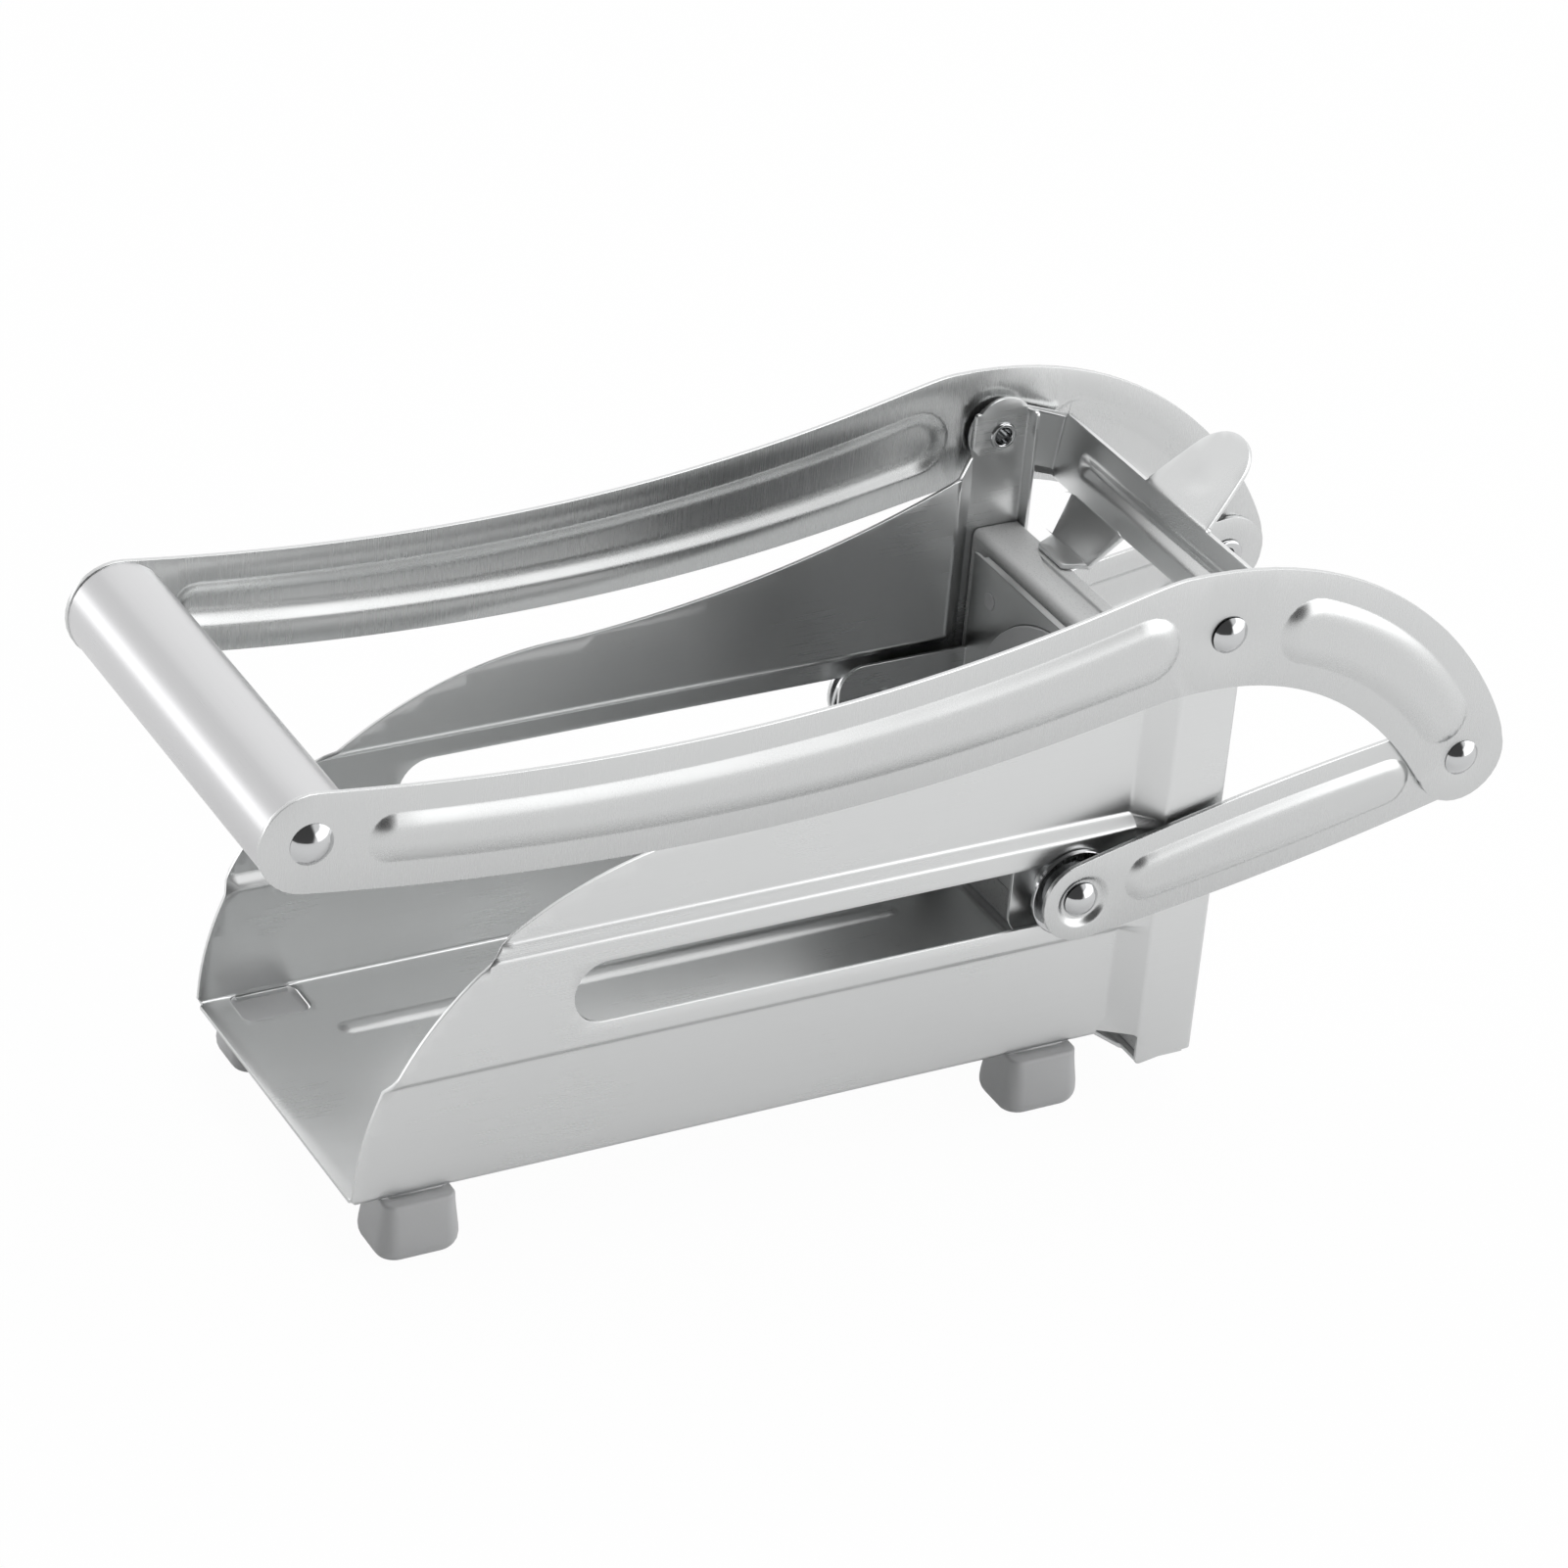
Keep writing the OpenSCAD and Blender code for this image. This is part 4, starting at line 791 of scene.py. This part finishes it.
def turned(name, at, profile, side, body, node, steps=56):
    """Spins a profile of (distance from the middle, radius) about an axis across the cutter."""
    turns = np.radians(np.arange(steps) * 360 / steps)
    points = [(at[0] + r * math.cos(a), side * y, at[1] + r * math.sin(a))
              for y, r in profile for a in turns]
    faces = [face[::side] for face in tube_faces(len(profile), steps)]
    obj = piece(name, points, faces, body, node)
    face_outwards(obj)
    return settle(obj, 40)


def domed(y, r, h, steps=9):
    """The profile of a domed head that sits on the face at y, from its foot to its crown."""
    ball = (r * r + h * h) / (2 * h)
    spread = math.asin(min(r / ball, 1))
    dome = [(y + h - ball + ball * math.cos(a), ball * math.sin(a))
            for a in np.linspace(spread, 0, steps + 1)]
    return [(y, r * 0.97), (y + h * 0.05, r)] + dome[1:]


def eyelet(y, hollow_r, r, deep):
    """The profile of a curled hollow tail: up the hollow, over the curl, out to its edge."""
    curl, middle = (r - hollow_r) / 2, (r + hollow_r) / 2
    roll = [(y + CURL_H - CURL_H * math.sin(a), middle - curl * math.cos(a))
            for a in np.linspace(0, math.pi, 13)]
    return [(y + deep, 0), (y + deep, hollow_r)] + roll


print("a rivet's head is", 2 * HEAD_R, "mm wide and", HEAD_H, "mm high")

# %% Rivets, washers and pins
# A profile's first number is the distance from the cutter's middle plane, its second the radius
pivot_profile = eyelet(38.7, 1.75, 2.8, 4.4) + [
    (39.2, SHANK_R), (41.5, SHANK_R), (41.5, COLLAR_R), (42.0, COLLAR_R), (42.0, SHANK_R),
    (43.4, SHANK_R)] + domed(43.4, HEAD_R, HEAD_H)
crook_profile = (eyelet(40.3, 1.7, 3.5, 2.6) + [(40.8, SHANK_R), (43.2, SHANK_R)]
                 + domed(43.2, HEAD_R, HEAD_H))
link_profile = [(40.3, 0), (40.3, SHANK_R), (41.3, SHANK_R)] + domed(41.3, 3.45, HEAD_H)
washer_profile = [(38.0, 2.6), (38.0, 8.65), (38.15, 8.8), (38.85, 8.8), (39.0, 8.65), (39.0, 2.6),
                  (38.0, 2.6)]
pin_profile = [
    (34.0, 0), (34.0, SHANK_R), (32.3, SHANK_R), (32.3, 4.2), (32.5, 4.4), (33.1, 4.4), (33.3, 4.2),
    (33.3, 2.5), (34.1, 2.5), (34.1, 5.9), (34.3, 6.1), (38.0, 6.1), (38.0, 2.5), (39.0, 2.5),
    (39.0, 4.5), (39.1, 4.6), (39.9, 4.6), (40.0, 4.5), (40.0, 0)]
TURNINGS = (
    ("pivot_stud", (0, PIVOT_H), pivot_profile, "housing", "pivot_rivet_{}"),
    ("crook_stud", REAR_AT, crook_profile, "handle", "rear_rivet_{}"),
    ("link_stud", PIN_AT, link_profile, "link_{}_side", "front_rivet_{}"),
    ("slide_washer_ring", PIN_AT, washer_profile, "pusher", "slide_washer_{}"),
    ("slide_pin", PIN_AT, pin_profile, "pusher", "slide_bush_{}"),
)
for side, word in SIDES:
    for name, at, profile, body, node in TURNINGS:
        turned(f"{name}_{word}", at, profile, side, body.format(word), node.format(word))
print("turned", len(SIDES) * len(TURNINGS), "rivets, washers and pins")

# %% The grip
GRIP_AT, GRIP_END, GRIP_R, ROD_END, ROD_R = (-179.8, 82.8), 42.2, 9.4, 43.2, 2.5
rod_head = domed(ROD_END, 4.0, 2.0)
tube_profile = [(-GRIP_END, 8.5), (-GRIP_END, 9.2), (-42.0, GRIP_R), (42.0, GRIP_R),
                (GRIP_END, 9.2), (GRIP_END, 8.5), (-GRIP_END, 8.5)]
rod_profile = ([(-y, r) for y, r in rod_head[::-1]] + [(-ROD_END, ROD_R), (ROD_END, ROD_R)]
               + rod_head)
turned("grip_tube", GRIP_AT, tube_profile, 1, "handle", "handle_tube", 96)
turned("grip_rod", GRIP_AT, rod_profile, 1, "handle", "handle_rod")
print("grip", 2 * GRIP_END, "mm long,", 2 * GRIP_R, "mm thick")

# %% [markdown]
# ## Eased copies
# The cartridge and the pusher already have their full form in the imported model, but its edges are
# razor sharp, which a moulding's or a pressing's never are. Their forms are copied, cleaned of the
# seams that the file format adds, and every edge is eased by a small bevel.

# %% Easing
def eased(name, node, body, width, segments=2, angle=25):
    bm = bmesh.new()
    bm.from_mesh(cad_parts[node].data)
    bmesh.ops.remove_doubles(bm, verts=bm.verts, dist=2e-6)
    bmesh.ops.dissolve_limit(bm, angle_limit=math.radians(0.6), verts=bm.verts, edges=bm.edges)
    points = np.array([v.co for v in bm.verts]) / MM - ORIGIN
    faces = [[v.index for v in f.verts] for f in bm.faces]
    bm.free()
    obj = piece(name, points, faces, body, node)
    obj.data.shade_smooth()
    ease(obj, width, angle, segments).modifiers["edges"].harden_normals = True
    print(name, len(faces), "faces, edges eased by", width, "mm")
    return settle(obj, None)


eased("cartridge_frame", "blade_frame", "housing", 0.3, 3)
eased("pusher_plate", "pusher_bracket", "pusher", 0.12)
eased("pegged_head", "pusher_head", "pusher", 0.2)

# %% [markdown]
# ## Feet
# Each foot is a soft grey block with a tab of the tray pushed into it. It is narrower at the top
# and its corners are generous, as a moulding's must be to leave its tool. Rounded rectangles, one
# above the other, give that form: each level has its own size and corner radius.

# %% Feet
FOOT_LEN, FOOT_W, FOOT_H, FOOT_OUT = 16.2, 13.5, 12.0, 3.5
# Each level's height, how far it stands out past the foot's sides, and its corner radius
LEVELS = ((-0.25, -1.6, 1.6), (-0.35, -1.3, 1.8), (-0.6, -1.1, 2.1), (-1.0, -1.0, 2.4),
          (-2.5, -0.8, 2.8), (-5, -0.45, 3.2), (-7.5, -0.1, 3.5), (-9, 0, 3.6), (-10, -0.1, 3.6),
          (-10.8, -0.38, 3.5), (-11.4, -0.8, 3.3), (-11.8, -1.35, 3.0), (-FOOT_H, -2.2, 2.6))
foot_y = TRAY_Y + FOOT_OUT - FOOT_W / 2


def foot_ring(at_x, grow, r):
    """One level's rounded rectangle, on the left side of the cutter."""
    return round_rect((at_x - FOOT_LEN / 2 - grow, foot_y - FOOT_W / 2 - grow),
                      (at_x + FOOT_LEN / 2 + grow, foot_y + FOOT_W / 2 + grow), r, 7)


for at_x, end in zip(FEET_X, ("front", "rear")):
    rings = [foot_ring(at_x, grow, r) for z, grow, r in LEVELS]
    count = len(rings[0])
    faces = tube_faces(len(LEVELS), count)
    faces += [range(count), range((len(LEVELS) - 1) * count, len(LEVELS) * count)]
    for side, word in SIDES:
        points = [(x, side * y, z) for (z, grow, r), ring in zip(LEVELS, rings) for x, y in ring]
        foot = piece(f"moulded_foot_{end}_{word}", points, faces, "housing", f"foot_{end}_{word}")
        face_outwards(foot)
        settle(foot, 50)
print("feet", FOOT_LEN, "x", FOOT_W, "x", FOOT_H, "mm")

# %% [markdown]
# ## The clamp
# The clamp that holds the cartridge down is one folded strip: a cross bar with a pressed bead, two
# ends that turn on the lever's rivets, a thumb tab bent back from the bar's top edge and two
# tongues bent forward from its bottom edge. Unrolled, all of that is a single flat outline, so it
# is drawn flat, with the distance along the bar and the distance down the sheet, and folded up
# afterwards.

# %% The clamp's lines
BAR_X, BAR_LOW, BAR_HIGH, BAIL_Y, BAIL_R, BEND_R = 15.1, -9.3, 4.1, 41.3, 6.6, 1.6
LEAN, TAB_LEAN, TAB_LEN, TAB_W, TIP_R = math.radians(8.5), math.radians(38), 17.2, 21.0, 8.1
CLAMP_T, REST_H, TONGUE_FOLD_X, TONGUE_TIP_X = 1.0, 69.4, 8.0, 3.0


def to_bar(x, z):
    """A point of the cutter's side view, seen in the leaning bar's own frame."""
    z = z - PIVOT_H
    return x * math.cos(LEAN) - z * math.sin(LEAN), x * math.sin(LEAN) + z * math.cos(LEAN)


bail_plan = softened([(BAR_X, 0), (BAR_X, BAIL_Y), (-BAIL_R, BAIL_Y)], BEND_R, 8)
bail_u = run_along(bail_plan)
pivot_at_u, bend_u = float(bail_u[-1]) - BAIL_R, BAIL_Y - BEND_R
fold_at, tip_at = np.array(to_bar(TONGUE_FOLD_X, REST_H)), np.array(to_bar(TONGUE_TIP_X, REST_H))
down = softened([(BAR_X, 0), (BAR_X, BAR_LOW), fold_at, tip_at], 1.5, 8)
tab_tip = (BAR_X + TAB_LEN * math.sin(TAB_LEAN), BAR_HIGH + TAB_LEN * math.cos(TAB_LEAN))
upwards = softened([(BAR_X, 0), (BAR_X, BAR_HIGH), tab_tip], BEND_R, 8)
side_v = np.concatenate((-run_along(down)[::-1], run_along(upwards)[1:]))
side_line = np.concatenate((down[::-1], upwards[1:]))
fold_v, tip_v = BAR_LOW - math.dist((BAR_X, BAR_LOW), fold_at), float(side_v[0])
print("the tongues fold", round(-fold_v, 1), "mm and end", round(-tip_v, 1), "mm down the sheet")

# %% The clamp's outline
# A tongue's two edges along the bar: at its root, at its fold and at its tip
ROOT_U, FOLD_U, TIP_U = (13.5, 32.5), (16.2, 29.8), (18.5, 27.5)
taper = math.degrees(math.atan((TAB_W / 2 - TIP_R) / (TAB_LEN - TIP_R)))
half_clamp = np.concatenate((
    softened([(0, BAR_LOW), (ROOT_U[0], BAR_LOW), (FOLD_U[0], fold_v), (TIP_U[0], tip_v),
              (TIP_U[1], tip_v), (FOLD_U[1], fold_v), (ROOT_U[1], BAR_LOW), (bend_u, BAR_LOW),
              (pivot_at_u, -BAIL_R)], 0.9, 4)[:-1],
    arc((pivot_at_u, 0), BAIL_R, -90, 90, 24),
    softened([(pivot_at_u, BAIL_R), (bend_u, BAR_HIGH), (TAB_W / 2 + 0.3, BAR_HIGH),
              (TAB_W / 2 - 0.2, BAR_HIGH + 2), (TIP_R + 1.2, BAR_HIGH + 6)], 0.5, 4)[1:],
    arc((0, BAR_HIGH + TAB_LEN - TIP_R), TIP_R, taper, 90, 20),
))
clamp_outline = np.concatenate((half_clamp, (half_clamp * (-1, 1))[::-1][1:-1]))
clamp_bores = [bore((s * pivot_at_u, 0), RIVET_BORE) for s in (1, -1)]
print("clamp outline", len(clamp_outline), "points")

# %% The bar's bead and the clamp's blank
RAISED_V, RAISED_END, RAISED_HALF, RAISED_H, RAISED_FLANK = -2.6, 30, 3.2, 1.2, 2.0
bead_line = np.stack((np.linspace(-RAISED_END, RAISED_END, 41), np.full(41, RAISED_V)), axis=1)
bead_rings = [(strip(bead_line, np.full(41, RAISED_HALF - 0.5 - RAISED_FLANK * k)),
               RAISED_H * float(ramp(k, 0.2))) for k in np.linspace(-0.2, 1.2, 12)]
half_u = rows_of(np.arange(0, bend_u, 2.6), np.arange(bend_u, bend_u + 2.6, 0.35),
                 np.arange(bend_u + 4, pivot_at_u + 6, 2.4))
clamp_u = np.concatenate((-half_u[::-1][:-1], half_u))
clamp_v = rows_of(np.arange(tip_v, fold_v - 1, 1.8), dense(fold_v, 1, 0.3),
                  np.arange(fold_v + 2, BAR_LOW - 1, 2), dense(BAR_LOW, 0.9, 0.3),
                  (-7.4, -6.4, 1.2, 2.2), dense(BAR_HIGH, 1.5, 0.3), np.arange(6.6, 21, 1.1))
spots = grid(clamp_u, clamp_v)
off_bead = ((np.abs(spots[:, 1] - RAISED_V) > RAISED_HALF + 0.4)
            | (np.abs(spots[:, 0]) > RAISED_END + RAISED_HALF + 0.4))
clamp_flat, clamp_triangles = blank_of(clamp_outline, clamp_bores, [loop for loop, h in bead_rings],
                                       spots[off_bead])
print("clamp blank", len(clamp_flat), "points")

# %% Folding the clamp
THUMB_V, THUMB_R, THUMB_EDGE, THUMB_DEEP = 6.6, 5.2, 5.0, 0.55


def fold_clamp(flat):
    u, v = flat.T
    a = np.abs(u)
    x, y = np.interp(a, bail_u, bail_plan[:, 0]), np.sign(u) * np.interp(a, bail_u, bail_plan[:, 1])
    z = v.copy()
    on_tab = (v > 1) & (a < TAB_W / 2 + 0.35)
    on_tongue = (v < -6) & (a > ROOT_U[0] - 0.2) & (a < ROOT_U[1] + 0.2)
    bent = on_tab | on_tongue
    x[bent] = np.interp(v, side_v, side_line[:, 0])[bent]
    z[bent] = np.interp(v, side_v, side_line[:, 1])[bent]
    x += ring_heights(flat, bead_rings)
    # The shallow dish under the thumb
    from_thumb = np.hypot(u, v - BAR_HIGH - THUMB_V)
    dish = THUMB_DEEP * smooth_step((THUMB_R - from_thumb) / THUMB_EDGE) * (v > BAR_HIGH + 0.5)
    x, z = x + dish * math.cos(TAB_LEAN), z - dish * math.sin(TAB_LEAN)
    return np.stack((x * math.cos(LEAN) + z * math.sin(LEAN), y,
                     PIVOT_H - x * math.sin(LEAN) + z * math.cos(LEAN)), axis=1)


clamp = piece("folded_clamp", fold_clamp(clamp_flat), clamp_triangles, "clamp", "clamp_bail")
thicken(clamp, CLAMP_T, edge=0.1)
print("clamp, unrolled", round(2 * (pivot_at_u + BAIL_R), 1), "mm along the bar")

# %% [markdown]
# ## The table
# A product shot stands on white paper. Its glow is for camera and glossy rays alone, so it lights
# nothing: the camera sees the paper almost white, and the steel mirrors it dimmer. The mirrored
# glow is painted: weaker close to the cutter, a painted shade where the cutter's own shade lies,
# and stronger on the far side, a painted brighter reflection.

# %% Table
SMOOTH = {"interpolation_type": "SMOOTHSTEP"}
PLUS, TIMES = {"operation": "ADD"}, {"operation": "MULTIPLY"}
ALL_WHITE = (1, 1, 1, 1)
# The cutter and its shade are long, so the distance along X counts for less
SHADE_SQUASH = (0.3, 1.0, 0.0)


def quad(name, corners, material):
    mesh = bpy.data.meshes.new(name)
    mesh.from_pydata(corners, [], [(0, 1, 2, 3)])
    mesh.materials.append(material)
    obj = bpy.data.objects.new(name, mesh)
    scene.collection.objects.link(obj)
    return obj


table_paper, tree, out = blank("white_table_paper")
matt = add(tree, "ShaderNodeBsdfPrincipled", Base_Color=linear("#EFEFEF"), Roughness=0.9)
glow = add(tree, "ShaderNodeEmission", Color=ALL_WHITE, Strength=1.0)
ray = add(tree, "ShaderNodeLightPath")
spot = add(tree, "ShaderNodeTexCoord").outputs["Object"]
narrowed = add(tree, "ShaderNodeVectorMath", TIMES, _0=spot, _1=SHADE_SQUASH)
away = add(tree, "ShaderNodeVectorMath", {"operation": "LENGTH"}, _0=narrowed.outputs["Vector"])
# Painted shade: the glow that the steel mirrors is dimmer close to the cutter
reach = add(tree, "ShaderNodeMapRange", SMOOTH, Value=away.outputs["Value"],
            From_Min=0.045, From_Max=0.2, To_Min=0.27, To_Max=0.72)
sideways = add(tree, "ShaderNodeSeparateXYZ", Vector=spot)
# Painted reflection: the glow that the steel mirrors is brighter on the far side
behind = add(tree, "ShaderNodeMapRange", SMOOTH, Value=sideways.outputs["Y"],
             From_Min=0.05, From_Max=0.3, To_Min=0.0, To_Max=0.28)
sheen = add(tree, "ShaderNodeMath", PLUS, _0=reach.outputs["Result"], _1=behind.outputs["Result"])
by_eye = add(tree, "ShaderNodeMath", TIMES, _0=ray.outputs["Is Camera Ray"], _1=0.97)
by_steel = add(tree, "ShaderNodeMath", TIMES, _0=ray.outputs["Is Glossy Ray"],
               _1=sheen.outputs["Value"])
shown = add(tree, "ShaderNodeMath", PLUS, _0=by_eye.outputs["Value"], _1=by_steel.outputs["Value"])
both = add(tree, "ShaderNodeMixShader", _0=shown.outputs["Value"], _1=matt.outputs["BSDF"],
           _2=glow.outputs["Emission"])
tree.links.new(both.outputs["Shader"], out.inputs["Surface"])
quad("table", [(-4, -4, 0), (4, -4, 0), (4, 4, 0), (-4, 4, 0)], table_paper)
print("table paper", len(tree.nodes), "nodes")

# %% [markdown]
# ## The room
# Satin steel shows the room more than the lamps, so most of the light comes from the world: a white
# room that is dark on the camera's side only. The edge between that dark side and the softbox on
# the right is what splits each rivet head in a dark and a white half and draws a bright band along
# the ribs.

# %% World
DARK_SIDE = (-0.641, -0.641, 0.423)
world = bpy.data.worlds.new("studio")
scene.world = world
world.use_nodes = True
sky = world.node_tree
sky.nodes.clear()
sky_out = sky.nodes.new("ShaderNodeOutputWorld")
direction = add(sky, "ShaderNodeTexCoord").outputs["Generated"]
height = add(sky, "ShaderNodeSeparateXYZ", Vector=direction)
walls = add(sky, "ShaderNodeMapRange", SMOOTH, Value=height.outputs["Z"],
            From_Min=0.0, From_Max=0.95, To_Min=1.0, To_Max=0.9)
towards = add(sky, "ShaderNodeVectorMath", {"operation": "DOT_PRODUCT"}, _0=direction, _1=DARK_SIDE)
dark = add(sky, "ShaderNodeMapRange", SMOOTH, Value=towards.outputs["Value"],
           From_Min=0.40, From_Max=0.62, To_Min=1.0, To_Max=0.08)
level = add(sky, "ShaderNodeMath", TIMES, _0=walls.outputs["Result"], _1=dark.outputs["Result"])
room = add(sky, "ShaderNodeBackground", Color=ALL_WHITE, Strength=level.outputs["Value"])
white = add(sky, "ShaderNodeBackground", Color=ALL_WHITE, Strength=1.0)
sky_ray = add(sky, "ShaderNodeLightPath")
sky_mix = add(sky, "ShaderNodeMixShader", _0=sky_ray.outputs["Is Camera Ray"],
              _1=room.outputs["Background"], _2=white.outputs["Background"])
sky.links.new(sky_mix.outputs["Shader"], sky_out.inputs["Surface"])
print("room", len(sky.nodes), "nodes")

# %% [markdown]
# ## The lamps
# Four large softboxes stand round the cutter, all turned to its middle. They are weak, because the
# room gives most of the light. What they add is direction: their edges show in the steel, which
# tells it from grey paint.

# %% Lamps
MIDDLE = Vector((0, 0, 0.05))


def lamp(name, at, width, height, watts):
    data = bpy.data.lights.new(name, "AREA")
    data.shape = "RECTANGLE"
    data.size, data.size_y, data.energy = width, height, watts
    obj = bpy.data.objects.new(name, data)
    obj.location = at
    obj.rotation_euler = (MIDDLE - Vector(at)).to_track_quat("-Z", "Y").to_euler()
    scene.collection.objects.link(obj)


lamp("overhead_softbox", (0.25, 0.15, 1.3), 1.0, 0.8, 5.2)
lamp("right_softbox", (1.036, -0.647, 0.46), 1.85, 0.85, 5.4)
lamp("left_back_softbox", (-0.86, 0.98, 0.2), 1.0, 0.36, 1.3)
lamp("back_softbox", (0.5, 0.95, 0.62), 1.6, 1.1, 1.1)
scene.view_settings.view_transform = "Standard"
